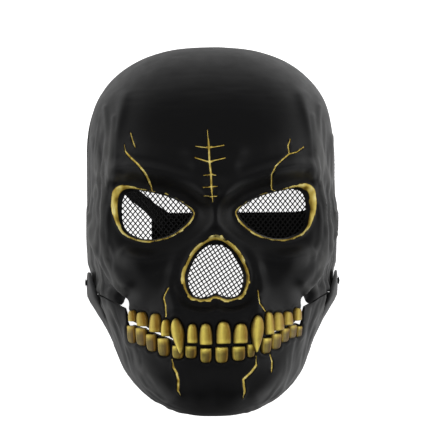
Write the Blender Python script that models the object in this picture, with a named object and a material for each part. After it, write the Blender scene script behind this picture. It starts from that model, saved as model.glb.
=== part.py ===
"""A full-face skull mask with a hinged jaw, lying face up on its flat back rim.

X runs across the face, Y up to the crown and Z out of the face. The origin is on the rest plane, under
the middle of the mask. Sizes and tables are in millimetres, and the meshes are made in metres.
"""

import math

import bmesh
import bpy
import numpy as np
from mathutils.geometry import delaunay_2d_cdt

# Driving dimensions
MM = 0.001
WALL = 2.2
CROWN_Y = 144.0
CHIN_Y = -135.4
MIDDLE_Y = (CROWN_Y + CHIN_Y) / 2
CROWN_ROUND_Y = 60.0
FOREHEAD_ROUND_Y = 40.0
JAW_ROUND_Y = -91.0
CHIN_ROUND_Y = -100.0
CROWN_POWER = 2.4
FOREHEAD_POWER = 2.3
CHIN_POWER = 2.5

# The jaw swings on two rivets at the ears
HINGE_Y = -35.5
HINGE_Z = 22.0
EAR_RADIUS = 12.4
EAR_CORNER = 5.5
TAB_RADIUS = 9.0
TAB_INNER_X = 93.7
TAB_OUTER_X = 95.8
RIVET_RADIUS = 2.0
RIVET_HEAD_RADIUS = 4.4
BORE_RADIUS = 2.4
ROUND_SIDES = 12
JAW_REAR = 15.0
SEAM_GAP = 0.9
JAW_SET_BACK = 4.5

# Openings: the drop from the crest of an opening's edge to the hole, and the net behind it
EYE_DROP = 4.5
NOSE_DROP = 3.5
EYE_BLEND = 15.0
NOSE_BLEND = 9.0
NOSE_LIP = 1.6
LIP_WIDTH = 2.5
DROP_POWER = 1.3
NET_GAP = 0.3
NET_THICKNESS = 1.0
NET_BORDER = 3.6
NET_GAP_SHARE = 0.39
EYE_NET_PITCH = (7.0, 8.4)
NOSE_NET_PITCH = (7.0, 7.8)

# Cross-sections of the head without its relief, from crown to chin
SECTIONS = np.array([
    # y, half width, depth in the middle, height of the rim, squareness
    (CROWN_Y, 95.5, 112.0, 0.0, 2.40),
    (60.0, 95.5, 111.0, 0.0, 2.55),
    (30.0, 95.6, 110.0, 0.0, 2.55),
    (0.0, 96.0, 109.0, 0.0, 2.45),
    (-20.0, 95.2, 109.0, 0.0, 2.40),
    (-29.0, 93.2, 110.0, 0.0, 2.35),
    (-46.0, 93.0, 112.0, 0.0, 2.20),
    (-55.5, 89.4, 114.0, 0.0, 2.10),
    (-67.4, 83.3, 115.0, 2.0, 2.10),
    (-79.0, 77.5, 115.0, 7.0, 2.10),
    (-91.0, 72.3, 113.0, 15.0, 2.15),
    (-103.0, 67.2, 109.0, 24.0, 2.20),
    (-114.0, 62.0, 105.0, 31.0, 2.30),
    (-125.0, 57.0, 101.0, 37.0, 2.30),
    (CHIN_Y, 52.0, 97.0, 42.0, 2.30),
])[::-1]

# Relief of the face's right half, mirrored to the left: ridges and grooves along a path
RIDGES = (
    # height, width, path (x, y)
    (6.0, 9.0, ((8, 30), (20, 37), (38, 43), (58, 47), (74, 46))),
    (3.4, 8.0, ((9, 32), (12, 46), (15, 60))),
    (-2.5, 7.0, ((20, 50), (44, 57), (70, 60))),
    (5.0, 9.0, ((0, 36), (0, 16), (0, 2))),
    (2.6, 5.0, ((66, 104), (73, 76), (76, 50), (77, 30))),
    (5.0, 6.0, ((88, 4), (83, -14), (74, -27), (66, -35))),
    (2.5, 5.0, ((30, -50), (33, -38), (30, -24))),
    (3.0, 7.0, ((60, -78), (48, -98), (30, -116))),
)

# Soft mounds and hollows of the right half
MOUNDS = (
    # x, y, half length in x, half length in y, height
    (58.0, -15.0, 17.0, 10.0, 7.0),
    (37.0, -23.0, 10.0, 13.0, -5.0),
    (66.0, -45.0, 8.0, 8.0, -9.0),
    (86.0, 48.0, 8.0, 26.0, -3.0),
    (0.0, -55.0, 44.0, 13.0, 4.0),
    (0.0, -97.0, 30.0, 6.0, -2.5),
    (14.0, -115.0, 13.0, 10.0, 4.5),
    (50.0, -50.0, 9.0, 8.0, -3.0),
)

# Outlines of the openings of the right half: the see-through hole and the crest around it
EYE_HOLE = (
    (17, 17.8), (24, 24.4), (34, 28.8), (48, 32.6), (60, 33.3), (66.2, 28.5),
    (67.6, 16), (65, 5.5), (56, -0.8), (44, -2.2), (33, 1), (23, 8.2),
)
EYE_CREST = (
    (14, 16.3), (22, 24.6), (34, 30.9), (49, 34.4), (64, 37.2), (72, 34.4),
    (74.1, 26), (72.4, 12), (66, 0.8), (52, -4.4), (36, -2.6), (22, 4.8),
)
NOSE_HOLE = (
    (0, -6.4), (5.4, -7.1), (12.2, -12.6), (18, -23), (19.9, -31), (17.5, -41), (11.7, -44.3), (5, -43.3), (0, -41.2),
    (-5, -43.3), (-11.7, -44.3), (-17.5, -41), (-19.9, -31), (-18, -23), (-12.2, -12.6), (-5.4, -7.1),
)
NOSE_CREST = (
    (0, 1), (7, -2), (15.8, -9.7), (21.6, -18.8), (24.9, -29), (22.8, -39.2), (18, -45.1), (8.3, -47.4), (0, -44.6),
    (-8.3, -47.4), (-18, -45.1), (-22.8, -39.2), (-24.9, -29), (-21.6, -18.8), (-15.8, -9.7), (-7, -2),
)

# The line where the rows of teeth meet, by distance from the middle
BITE = np.array([(0, -79.0), (18, -78.2), (27, -76.5), (36, -72.4), (44, -69.8), (53, -66.0), (62, -63.3)])
BITE_GAP = 2.0
MOUTH_X = np.array([60.5, 53.0, 46.0, 39.0, 31.0, 22.0, 11.0, 0.0])

# The seam on the right half, from the ear to the mouth corner, and the edges beside the corner's gap
SEAM = ((86.7, -42.6), (83.8, -43.4), (76.2, -47.2), (69.7, -50.4))
CORNER_ABOVE = ((68.3, -49.0), (67.0, -46.2), (65.2, -44.1), (63.4, -47.1), (62.7, -53.0), (62.3, -60.0))
CORNER_BELOW = ((66.8, -52.6), (65.6, -56.5), (65.2, -63.0), (63.8, -66.6))

UPPER_TEETH = (
    # x in the middle, width, gum y, edge y, taper of the free end
    (-60.1, 4.6, -53.9, -62.2, 0.8),
    (-53.0, 7.2, -55.1, -65.2, 0.8),
    (-43.6, 7.3, -55.6, -69.2, 0.8),
    (-36.4, 5.4, -60.0, -71.9, 0.7),
    (-28.2, 8.6, -58.9, -84.2, 0.25),
    (-17.4, 7.4, -63.1, -76.6, 0.9),
    (-7.7, 8.8, -63.1, -77.9, 0.9),
    (4.9, 10.4, -61.6, -77.2, 0.9),
    (17.2, 10.4, -63.2, -77.1, 0.9),
    (29.8, 9.0, -57.2, -83.7, 0.25),
    (37.9, 6.0, -55.2, -71.3, 0.7),
    (45.0, 7.4, -55.7, -69.1, 0.8),
    (52.5, 6.4, -55.6, -65.4, 0.8),
    (59.9, 5.0, -53.4, -62.6, 0.8),
)
LOWER_TEETH = (
    # x in the middle, width, gum y, edge y, taper of the free end
    (-60.9, 5.2, -78.6, -65.4, 0.8),
    (-53.7, 6.9, -79.5, -66.7, 0.85),
    (-46.6, 6.3, -83.5, -71.0, 0.85),
    (-37.7, 7.3, -86.7, -73.6, 0.85),
    (-27.6, 7.4, -88.1, -78.9, 0.85),
    (-18.3, 7.8, -87.6, -79.0, 0.9),
    (-7.7, 7.8, -90.9, -80.6, 0.9),
    (3.6, 9.0, -91.1, -79.8, 0.9),
    (15.8, 9.2, -89.8, -79.6, 0.9),
    (24.6, 4.8, -87.8, -78.4, 0.8),
    (36.2, 6.2, -85.4, -74.2, 0.85),
    (43.3, 6.8, -82.8, -71.4, 0.85),
    (50.1, 5.6, -78.1, -67.9, 0.85),
    (56.0, 5.0, -75.5, -65.9, 0.8),
    (61.2, 3.6, -75.0, -67.2, 0.8),
)
TOOTH_ROOT = -1.5
TOOTH_SHOULDER = 1.1
UPPER_TOOTH_PROUD = 2.8
LOWER_TOOTH_PROUD = 1.8
TOOTH_FACE = 0.7
TOOTH_PROBE = 2.0

# The elastic band, from the right anchor to the left one: folded in three in the middle of the hollow
STRAP_WIDTH = 25.0
STRAP_THICKNESS = 1.2
STRAP_ROWS = (
    # x, y, z of the band's middle, turn of its width from Y in plan, tip of its width from flat
    (89.0, 64.0, 14.5, 90.0, 90.0),
    (88.8, 54.0, 14.5, 88.0, 90.0),
    (88.0, 38.0, 14.2, 82.0, 82.0),
    (84.5, 23.0, 12.0, 64.0, 62.0),
    (77.0, 12.0, 7.8, 38.0, 34.0),
    (67.0, 6.6, 3.9, 16.0, 14.0),
    (56.0, 4.8, 1.5, 4.0, 2.0),
    (38.0, 4.6, 1.0, 0.0, 0.0),
    (-44.0, 4.6, 1.0, 0.0, 0.0),
    (-45.4, 4.6, 1.8, 0.0, 0.0),
    (-44.0, 4.6, 2.6, 0.0, 0.0),
    (43.0, 4.6, 2.6, 0.0, 0.0),
    (44.4, 4.6, 3.4, 0.0, 0.0),
    (43.0, 4.6, 4.2, 0.0, 0.0),
    (0.0, 4.6, 4.2, 0.0, 0.0),
    (-18.0, 6.0, 5.4, -8.0, 4.0),
    (-33.0, 11.0, 9.0, -24.0, 22.0),
    (-46.0, 19.8, 12.6, -34.0, 46.0),
    (-59.0, 30.0, 13.4, -38.0, 62.0),
    (-71.0, 39.3, 13.9, -38.0, 70.0),
    (-82.0, 47.8, 14.4, -40.0, 80.0),
    (-88.6, 55.5, 14.5, -40.0, 90.0),
    (-89.0, 64.0, 14.5, -40.0, 90.0),
)
ANCHOR_Y = 60.0
ANCHOR_Z = 14.5
ANCHOR_LENGTH = 16.0
ANCHOR_HEIGHT = 25.0
ANCHOR_THICKNESS = 1.8

# How finely the wall is drawn
OUTLINE_STEPS = 2
ROW_STEPS = 8
ROW_DISTANCES = (4.6, 9.4, 14.4)
ROW_SPACING = 5.6
FINE_SPACING = 6.6
COARSE_SPACING = 12.5
JAW_FINE_SPACING = 7.2
JAW_COARSE_SPACING = 10.5
RIM_SPACING = 10.0
SEAM_SPACING = 6.0
CLEAR_SHARE = 0.62
OUTLINE_REACH = 110.0
OUTLINE_LIMIT = 170.0
TABLE_ANGLES = 360
TABLE_RINGS = 160


def smooth_curve(knots, values, x):
    """A smooth curve through a table of rising knots, which never overshoots its values."""
    step = np.diff(knots)
    slope = np.diff(values) / step
    tangent = np.zeros(len(knots))
    tangent[0], tangent[-1] = slope[0], slope[-1]
    for i in range(1, len(slope)):
        if slope[i - 1] * slope[i] > 0:
            first = 2 * step[i] + step[i - 1]
            second = step[i] + 2 * step[i - 1]
            tangent[i] = (first + second) / (first / slope[i - 1] + second / slope[i])
    x = np.clip(x, knots[0], knots[-1])
    i = np.clip(np.searchsorted(knots, x) - 1, 0, len(step) - 1)
    t = (x - knots[i]) / step[i]
    start = (1 + 2 * t) * (1 - t) ** 2 * values[i] + t * (1 - t) ** 2 * step[i] * tangent[i]
    end = t * t * (3 - 2 * t) * values[i + 1] + t * t * (t - 1) * step[i] * tangent[i + 1]
    return start + end


def rounded(share, power):
    """The height of a unit superellipse at a share of its half width."""
    return (1 - np.clip(np.abs(share), 0, 1) ** power) ** (1 / power)


def smooth_step(t):
    t = np.clip(t, 0, 1)
    return t * t * (3 - 2 * t)


def section(column, y):
    return smooth_curve(SECTIONS[:, 0], SECTIONS[:, column], y)


def half_width(y):
    crown = rounded(np.maximum(y - CROWN_ROUND_Y, 0) / (CROWN_Y - CROWN_ROUND_Y), CROWN_POWER)
    chin = rounded(np.maximum(JAW_ROUND_Y - y, 0) / (JAW_ROUND_Y - CHIN_Y), CHIN_POWER)
    return section(1, y) * crown * chin


def rim_height(y):
    return section(3, y)


def middle_depth(y):
    """How far the head's middle line stands above the rim."""
    crown = rounded(np.maximum(y - FOREHEAD_ROUND_Y, 0) / (CROWN_Y - FOREHEAD_ROUND_Y), FOREHEAD_POWER)
    chin = rounded(np.maximum(CHIN_ROUND_Y - y, 0) / (CHIN_ROUND_Y - CHIN_Y), CHIN_POWER)
    return (section(2, y) - rim_height(y)) * crown * chin


def head(x, y):
    """The head without relief."""
    share = np.abs(x) / np.maximum(half_width(y), 1e-6)
    return rim_height(y) + middle_depth(y) * rounded(share, section(4, y))


def wall_x(y, z):
    """How far from the middle the side wall stands at a height."""
    share = (z - rim_height(y)) / middle_depth(y)
    return half_width(y) * rounded(share, section(4, y))


def path_distance(x, y, path, closed=False):
    """Distance in plan from each point to a path."""
    path = np.asarray(path, float)
    ends = np.roll(path, -1, axis=0) if closed else path[1:]
    starts = path if closed else path[:-1]
    nearest = np.full(np.shape(x), np.inf)
    for a, b in zip(starts, ends):
        along = b - a
        t = np.clip(((x - a[0]) * along[0] + (y - a[1]) * along[1]) / (along @ along), 0, 1)
        nearest = np.minimum(nearest, np.hypot(x - a[0] - t * along[0], y - a[1] - t * along[1]))
    return nearest


def inside(x, y, loop):
    """Whether each point lies inside a closed loop."""
    loop = np.asarray(loop, float)
    result = np.zeros(np.shape(x), bool)
    for a, b in zip(loop, np.roll(loop, -1, axis=0)):
        crosses = (a[1] > y) != (b[1] > y)
        rise = b[1] - a[1] if b[1] != a[1] else 1e-12
        result ^= crosses & (x < a[0] + (y - a[1]) * (b[0] - a[0]) / rise)
    return result


def signed_distance(x, y, loop):
    """Distance to a closed loop, negative inside."""
    distance = path_distance(x, y, loop, closed=True)
    return np.where(inside(x, y, loop), -distance, distance)


def closed_spline(points, steps):
    """A smooth closed loop through points, counter-clockwise or clockwise as they are given."""
    points = np.asarray(points, float)
    before, after = np.roll(points, 1, axis=0), np.roll(points, -1, axis=0)
    beyond = np.roll(points, -2, axis=0)
    rows = []
    for i in range(len(points)):
        for t in np.arange(steps) / steps:
            rows.append(0.5 * (
                2 * points[i]
                + (after[i] - before[i]) * t
                + (2 * before[i] - 5 * points[i] + 4 * after[i] - beyond[i]) * t * t
                + (3 * points[i] - before[i] - 3 * after[i] + beyond[i]) * t ** 3
            ))
    return np.array(rows)


def mirrored(loop):
    return np.asarray(loop)[::-1] * (-1, 1)


EYE_HOLE_LOOP = closed_spline(EYE_HOLE, OUTLINE_STEPS)
EYE_CREST_LOOP = closed_spline(EYE_CREST, OUTLINE_STEPS)
NOSE_HOLE_LOOP = closed_spline(NOSE_HOLE, OUTLINE_STEPS)
NOSE_CREST_LOOP = closed_spline(NOSE_CREST, OUTLINE_STEPS)


def eye_floor(x, y):
    """The socket around an eye opening, bent only across the face."""
    out = np.abs(x) - 14.0
    return 99.0 - 0.10 * out - 0.0042 * out * out


def nose_floor(x, y):
    return 108.5 + 0.03 * (y + 24) - 0.0065 * x * x


def cut_in(z, x, y, hole, crest, floor, blend, drop, lip):
    """Lowers the face to an opening's floor, with a crest around it and a drop to the hole."""
    from_crest = signed_distance(x, y, crest)
    from_hole = signed_distance(x, y, hole)
    share = smooth_step(1 - np.maximum(from_crest, 0) / blend)
    z = z + (floor(x, y) - z) * share
    z = z + lip * np.exp(-((from_crest / LIP_WIDTH) ** 2))
    inward = np.clip(-from_crest, 0, None)
    reach = inward / np.maximum(inward + np.clip(from_hole, 0, None), 1e-6)
    return z - drop * reach ** DROP_POWER


def bite_line(x):
    return smooth_curve(BITE[:, 0], BITE[:, 1], np.abs(x))


def face(x, y):
    """The outer surface of the mask."""
    right = np.abs(x)
    z = head(x, y)
    fade = smooth_step((z - rim_height(y)) / 30.0)
    relief = np.zeros(np.shape(x))
    for height, width, path in RIDGES:
        relief = relief + height * np.exp(-((path_distance(right, y, path) / width) ** 2))
    for centre_x, centre_y, long_x, long_y, height in MOUNDS:
        relief = relief + height * np.exp(
            -(((right - centre_x) / long_x) ** 2) - ((y - centre_y) / long_y) ** 2)
    z = z + relief * fade
    z = cut_in(z, right, y, EYE_HOLE_LOOP, EYE_CREST_LOOP, eye_floor, EYE_BLEND, EYE_DROP, 0.0)
    return cut_in(z, x, y, NOSE_HOLE_LOOP, NOSE_CREST_LOOP, nose_floor, NOSE_BLEND, NOSE_DROP, NOSE_LIP)


def jaw_face(x, y):
    """The outer surface of the jaw, whose row of teeth stands behind the upper one."""
    row = smooth_step((y + 101.0) / 16.0) * smooth_step((67.5 - np.abs(x)) / 9.0)
    return face(x, y) - JAW_SET_BACK * row


def outline_radius(angle):
    """Distance from the middle to the outline, seen from the front."""
    low, high = np.zeros(np.shape(angle)), np.full(np.shape(angle), OUTLINE_LIMIT)
    for _ in range(40):
        middle = (low + high) / 2
        x, y = middle * np.cos(angle), middle * np.sin(angle)
        within = (y < CROWN_Y) & (y > CHIN_Y) & (np.abs(x) < half_width(y))
        low, high = np.where(within, middle, low), np.where(within, high, middle)
    return low


def unrolling_tables():
    """For each direction from the middle, the length along the head's surface to each ring."""
    angles = np.linspace(-math.pi, math.pi, TABLE_ANGLES + 1)
    turns = np.linspace(0, math.pi / 2, TABLE_RINGS)
    radius = outline_radius(angles)
    lengths = np.zeros((len(angles), len(turns)))
    for i, angle in enumerate(angles):
        r = radius[i] * np.sin(turns)
        z = head(r * math.cos(angle), r * math.sin(angle))
        lengths[i, 1:] = np.cumsum(np.hypot(np.diff(r), np.diff(z)))
    return angles, turns, radius, lengths


ANGLES, TURNS, RADIUS, LENGTHS = unrolling_tables()


def beside(angle):
    """The two table rows beside an angle, and the share of the second."""
    place = (angle + math.pi) / (2 * math.pi) * TABLE_ANGLES
    first = np.clip(np.floor(place).astype(int), 0, TABLE_ANGLES - 1)
    return first, first + 1, place - first


def unroll(points):
    """Flattens points of the face, so that distances on the steep sides stay true."""
    x, y = points[:, 0], points[:, 1]
    angle, r = np.arctan2(y, x), np.hypot(x, y)
    first, second, share = beside(angle)
    limit = RADIUS[first] * (1 - share) + RADIUS[second] * share
    turn = np.arcsin(np.clip(r / limit, 0, 1))
    length = np.array([
        np.interp(t, TURNS, LENGTHS[a]) * (1 - s) + np.interp(t, TURNS, LENGTHS[b]) * s
        for t, a, b, s in zip(turn, first, second, share)
    ])
    return np.stack([length * np.cos(angle), length * np.sin(angle)], axis=1)


def roll_back(points):
    """The face point for each flattened point."""
    angle, length = np.arctan2(points[:, 1], points[:, 0]), np.hypot(points[:, 0], points[:, 1])
    first, second, share = beside(angle)
    turn = np.array([
        np.interp(t, LENGTHS[a], TURNS) * (1 - s) + np.interp(t, LENGTHS[b], TURNS) * s
        for t, a, b, s in zip(length, first, second, share)
    ])
    r = (RADIUS[first] * (1 - share) + RADIUS[second] * share) * np.sin(turn)
    return np.stack([r * np.cos(angle), r * np.sin(angle)], axis=1)


def lattice(loop, spacing, keep):
    """Evenly spaced points in staggered rows inside a loop, where keep allows them."""
    low, high = loop.min(axis=0), loop.max(axis=0)
    rows = []
    for j, v in enumerate(np.arange(low[1], high[1], spacing * math.sqrt(3) / 2)):
        for u in np.arange(low[0] + (j % 2) * spacing / 2, high[0], spacing):
            rows.append((u, v))
    points = np.array(rows)
    return points[inside(points[:, 0], points[:, 1], loop) & keep(points)]


def rows_beside(loop, distances, spacing):
    """Points in even rows outside a closed loop, so that the slope around an opening is drawn cleanly."""
    rows = []
    for distance in distances:
        wide = closed_spline(loop, ROW_STEPS)
        along = np.roll(wide, -1, axis=0) - np.roll(wide, 1, axis=0)
        outward = np.column_stack([along[:, 1], -along[:, 0]]) / np.linalg.norm(along, axis=1)[:, None]
        if not signed_distance(*(wide + outward).T, loop).mean() > 0:
            outward = -outward
        wide = wide + distance * outward
        wide = wide[signed_distance(wide[:, 0], wide[:, 1], loop) > 0.97 * distance]
        for point in wide:
            if not rows or np.hypot(*(np.array(rows) - point).T).min() > 0.8 * spacing:
                rows.append(point)
    return np.array(rows)


def triangulate(loops, extra, hole_count=0):
    """Joins loops and extra points into triangles inside the first loop and outside the holes.

    The holes follow the first loop in the list, and the loops after them are only edges to keep.
    """
    points = [tuple(p) for loop in loops for p in loop]
    edges = []
    start = 0
    for loop in loops:
        count = len(loop)
        edges += [(start + i, start + (i + 1) % count) for i in range(count)]
        start += count
    points += [tuple(p) for p in extra]
    verts, _, faces, origins, _, _ = delaunay_2d_cdt(points, edges, [], 0, 1e-7, True)
    if len(verts) != len(points):
        raise ValueError("an outline crosses itself or another")
    index = [ids[0] for ids in origins]
    flat = np.array([points[i] for i in index])
    centres = np.array([flat[list(f)].mean(axis=0) for f in faces])
    keep = inside(centres[:, 0], centres[:, 1], loops[0])
    for hole in loops[1:1 + hole_count]:
        keep &= ~inside(centres[:, 0], centres[:, 1], hole)
    triangles = []
    for kept, corners in zip(keep, faces):
        if not kept:
            continue
        a, b, c = (index[i] for i in corners)
        pa, pb, pc = (np.array(points[i]) for i in (a, b, c))
        turn = (pb[0] - pa[0]) * (pc[1] - pa[1]) - (pb[1] - pa[1]) * (pc[0] - pa[0])
        triangles.append((a, b, c) if turn > 0 else (a, c, b))
    return triangles


def wall_faces(triangles, count):
    """The faces of a closed wall: an outer side, an inner side and the edges between them."""
    edges = {(t[i], t[(i + 1) % 3]) for t in triangles for i in range(3)}
    faces = list(triangles)
    faces += [(a + count, c + count, b + count) for a, b, c in triangles]
    for a, b in sorted(edges):
        if (b, a) not in edges:
            faces.append((b, a, a + count, b + count))
    return faces


def vertex_normals(points, triangles):
    corners = np.array(triangles)
    a, b, c = points[corners[:, 0]], points[corners[:, 1]], points[corners[:, 2]]
    areas = np.cross(b - a, c - a)
    normals = np.zeros(points.shape)
    for i in range(3):
        np.add.at(normals, corners[:, i], areas)
    return normals / np.linalg.norm(normals, axis=1)[:, None]


def material(name, colour, metallic, roughness):
    made = bpy.data.materials.new(name)
    made.use_nodes = True
    shader = made.node_tree.nodes["Principled BSDF"]
    shader.inputs["Base Color"].default_value = (*colour, 1)
    shader.inputs["Metallic"].default_value = metallic
    shader.inputs["Roughness"].default_value = roughness
    return made


def add_object(name, points, faces, look):
    """One named object from points in millimetres, moved so that the box's middle is the origin."""
    mesh = bpy.data.meshes.new(name)
    placed = (np.asarray(points, float) - (0, MIDDLE_Y, 0)) * MM
    mesh.from_pydata(placed.tolist(), [], [tuple(int(i) for i in f) for f in faces])
    mesh.materials.append(look)
    made = bpy.data.objects.new(name, mesh)
    bpy.context.scene.collection.objects.link(made)
    return made


def boolean(target, operation, tool):
    """Joins or cuts with a tool object, which is itself left out of the model."""
    step = target.modifiers.new(operation.title(), "BOOLEAN")
    step.operation = operation
    step.object = tool
    tool.hide_render = True
    tool.display_type = "WIRE"


def shell(name, loops, hole_count, rows, surface, spacings, look):
    """A wall of even thickness whose outer side lies on a surface.

    The holes follow the outline in the list of loops. Rows are extra places in plan, kept clear of others.

    Each loop is rows of x, y, z, where z is not-a-number for a point that takes the surface's height.
    Points with their own height are on the flat rim, where the wall stands square to the rest plane.
    """
    flat_loops = [unroll(loop[:, :2]) for loop in loops]
    flat_rows = unroll(rows)
    extra = [flat_rows]
    for spacing, wanted in spacings:
        def keep(points, wanted=wanted, spacing=spacing):
            away = np.full(len(points), np.inf)
            for loop in flat_loops:
                away = np.minimum(away, path_distance(points[:, 0], points[:, 1], loop, closed=True))
            for hole in flat_loops[1:1 + hole_count]:
                away[inside(points[:, 0], points[:, 1], hole)] = 0
            for row in flat_rows:
                away = np.minimum(away, np.hypot(points[:, 0] - row[0], points[:, 1] - row[1]))
            return (away > CLEAR_SHARE * spacing) & wanted(roll_back(points))
        extra.append(lattice(flat_loops[0], spacing, keep))
    extra = np.concatenate(extra)
    triangles = triangulate(flat_loops, extra, hole_count=hole_count)
    plan = np.concatenate([loop[:, :2] for loop in loops] + [roll_back(extra)])
    heights = surface(plan[:, 0], plan[:, 1])
    given = np.concatenate([loop[:, 2] for loop in loops] + [np.full(len(extra), np.nan)])
    on_rim = ~np.isnan(given)
    heights[on_rim] = given[on_rim]
    points = np.column_stack([plan, heights])
    normals = vertex_normals(points, triangles)
    normals[on_rim, 2] = 0
    normals /= np.linalg.norm(normals, axis=1)[:, None]
    inner = points - WALL * normals
    return add_object(name, np.concatenate([points, inner]), wall_faces(triangles, len(points)), look)


def surface_points(points):
    """Loop rows that take their height from the surface."""
    points = np.asarray(points, float)
    return np.column_stack([points, np.full(len(points), np.nan)])


def rim_points(from_degrees, to_degrees):
    """Points along the outline, from one direction to another."""
    count = max(2, round(math.radians(abs(to_degrees - from_degrees)) * OUTLINE_REACH / RIM_SPACING))
    angle = np.radians(np.linspace(from_degrees, to_degrees, count + 1))
    radius = outline_radius(angle)
    x, y = radius * np.cos(angle), radius * np.sin(angle)
    return np.column_stack([x, y, rim_height(y)])


def wall_points(rows):
    """Loop rows for places on the right side wall, given by y and z."""
    rows = np.asarray(rows, float)
    return surface_points(np.column_stack([wall_x(rows[:, 0], rows[:, 1]), rows[:, 0]]))


def spaced(points, spacing):
    """The same path with points about a spacing apart."""
    points = np.asarray(points, float)
    rows = [points[0]]
    for a, b in zip(points[:-1], points[1:]):
        count = max(1, round(float(np.linalg.norm(b - a)) / spacing))
        rows += [a + (b - a) * (i + 1) / count for i in range(count)]
    return np.array(rows)


def degrees_at(x, y):
    return math.degrees(math.atan2(y, x))


def both_halves(right_half):
    """A closed loop from its right half, which runs from the top middle to the bottom middle."""
    left_half = right_half[1:-1][::-1] * (-1, 1, 1)
    return np.concatenate([right_half, left_half])[::-1]


def ear_arc(radius, start, end, count):
    """Places (y, z) on the side wall around the hinge."""
    return [
        (HINGE_Y + radius * math.cos(math.radians(a)), HINGE_Z + radius * math.sin(math.radians(a)))
        for a in np.linspace(start, end, count)
    ]


def tooth(points, faces, row, surface, proud):
    """Adds one tooth: a root ring in the wall, a shoulder ring and a smaller face ring."""
    x_middle, width, gum_y, edge_y, taper = row
    y_middle = (gum_y + edge_y) / 2
    beside_it = surface(x_middle + np.array([-TOOTH_PROBE, TOOTH_PROBE]), np.full(2, y_middle))
    ends = surface(np.full(2, x_middle), np.array([gum_y, edge_y]))
    lean = (ends[0] - ends[1]) / (gum_y - edge_y)
    along = np.array([2 * TOOTH_PROBE, 0.0, beside_it[1] - beside_it[0]])
    along /= np.linalg.norm(along)
    out = np.array([-along[2], 0.0, along[0]])
    outline = (
        # share of half width, share of height from gum to edge
        (-0.55, 0.0), (-0.95, 0.16), (-1.0, 0.55), (-taper, 0.93), (-taper * 0.6, 1.0),
        (taper * 0.6, 1.0), (taper, 0.93), (1.0, 0.55), (0.95, 0.16), (0.55, 0.0),
    )
    start, count = len(points), len(outline)
    for distance, scale in ((TOOTH_ROOT, 1.0), (TOOTH_SHOULDER, 1.0), (proud, TOOTH_FACE)):
        for side, down in outline:
            y = y_middle + (gum_y - y_middle) * (1 - 2 * down) * scale
            foot = np.array([x_middle, y, ends.mean() + lean * (y - y_middle)])
            points.append(foot + along * side * scale * width / 2 + out * distance)
    rings = [[start + r * count + i for i in range(count)] for r in range(3)]
    made = [tuple(reversed(rings[0])), tuple(rings[-1])]
    for low, high in zip(rings[:-1], rings[1:]):
        for i in range(count):
            j = (i + 1) % count
            made.append((low[i], low[j], high[j], high[i]))
    faces += made if gum_y > edge_y else [tuple(reversed(f)) for f in made]


def teeth(name, rows, surface, proud, look):
    points, faces = [], []
    for row in rows:
        tooth(points, faces, row, surface, proud)
    return add_object(name, points, faces, look)


def net(name, hole, floor, drop, pitch, look):
    """A bent sheet behind an opening, cut through in staggered rows."""
    centre = hole.mean(axis=0)
    after, before = np.roll(hole, -1, axis=0), np.roll(hole, 1, axis=0)
    along = after - before
    outward = np.column_stack([along[:, 1], -along[:, 0]]) / np.linalg.norm(along, axis=1)[:, None]
    if np.sum((hole - centre) * outward) < 0:
        outward = -outward
    border = hole + outward * NET_BORDER
    gaps = []
    low, high = hole.min(axis=0), hole.max(axis=0)
    half = NET_GAP_SHARE * np.array(pitch)
    for j, y in enumerate(np.arange(low[1] + pitch[1] * 0.3, high[1], pitch[1] / 2)):
        for x in np.arange(low[0] - pitch[0] + (j % 2) * pitch[0] / 2, high[0], pitch[0]):
            gap = np.array([(x, y) + half * corner for corner in ((1, 0), (0, 1), (-1, 0), (0, -1))])
            if np.all(signed_distance(gap[:, 0], gap[:, 1], hole) < 1.0):
                gaps.append(gap)
    loops = [border, *gaps]
    triangles = triangulate(loops, np.zeros((0, 2)), hole_count=len(gaps))
    plan = np.concatenate(loops)
    top = floor(plan[:, 0], plan[:, 1]) - drop - WALL - NET_GAP
    front = np.column_stack([plan, top])
    back = front - (0, 0, NET_THICKNESS)
    faces = wall_faces(triangles, len(front))
    return add_object(name, np.concatenate([front, back]), faces, look)


def cylinder_x(name, x_start, x_end, radius, sides, look):
    """A plain pin along X through the hinge."""
    bm = bmesh.new()
    bmesh.ops.create_cone(bm, cap_ends=True, segments=sides, radius1=radius, radius2=radius,
                          depth=abs(x_end - x_start))
    points = [((x_start + x_end) / 2 + v.co.z, HINGE_Y + v.co.y, HINGE_Z - v.co.x) for v in bm.verts]
    faces = [[v.index for v in f.verts] for f in bm.faces]
    bm.free()
    return add_object(name, points, faces, look)


def lathe_x(name, side, profile, sides, look):
    """A solid turned about the hinge axis, from rows of distance along X and radius."""
    points, faces = [], []
    for x, radius in profile:
        for i in range(sides):
            angle = 2 * math.pi * i / sides
            points.append((side * x, HINGE_Y + radius * math.cos(angle), HINGE_Z + radius * math.sin(angle)))
    for r in range(len(profile) - 1):
        for i in range(sides):
            j = (i + 1) % sides
            faces.append((r * sides + i, r * sides + j, (r + 1) * sides + j, (r + 1) * sides + i))
    faces.append(tuple(reversed(range(sides))))
    faces.append(tuple((len(profile) - 1) * sides + i for i in range(sides)))
    if side < 0:
        faces = [tuple(reversed(f)) for f in faces]
    return add_object(name, points, faces, look)


def lofted(name, rings, look):
    """A closed solid through rings of the same number of points."""
    count = len(rings[0])
    points = [p for ring in rings for p in ring]
    faces = [tuple(reversed(range(count)))]
    for r in range(len(rings) - 1):
        for i in range(count):
            j = (i + 1) % count
            faces.append((r * count + i, r * count + j, (r + 1) * count + j, (r + 1) * count + i))
    faces.append(tuple((len(rings) - 1) * count + i for i in range(count)))
    made = add_object(name, points, faces, look)
    bm = bmesh.new()
    bm.from_mesh(made.data)
    bmesh.ops.recalc_face_normals(bm, faces=bm.faces)
    bm.to_mesh(made.data)
    bm.free()
    return made


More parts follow.
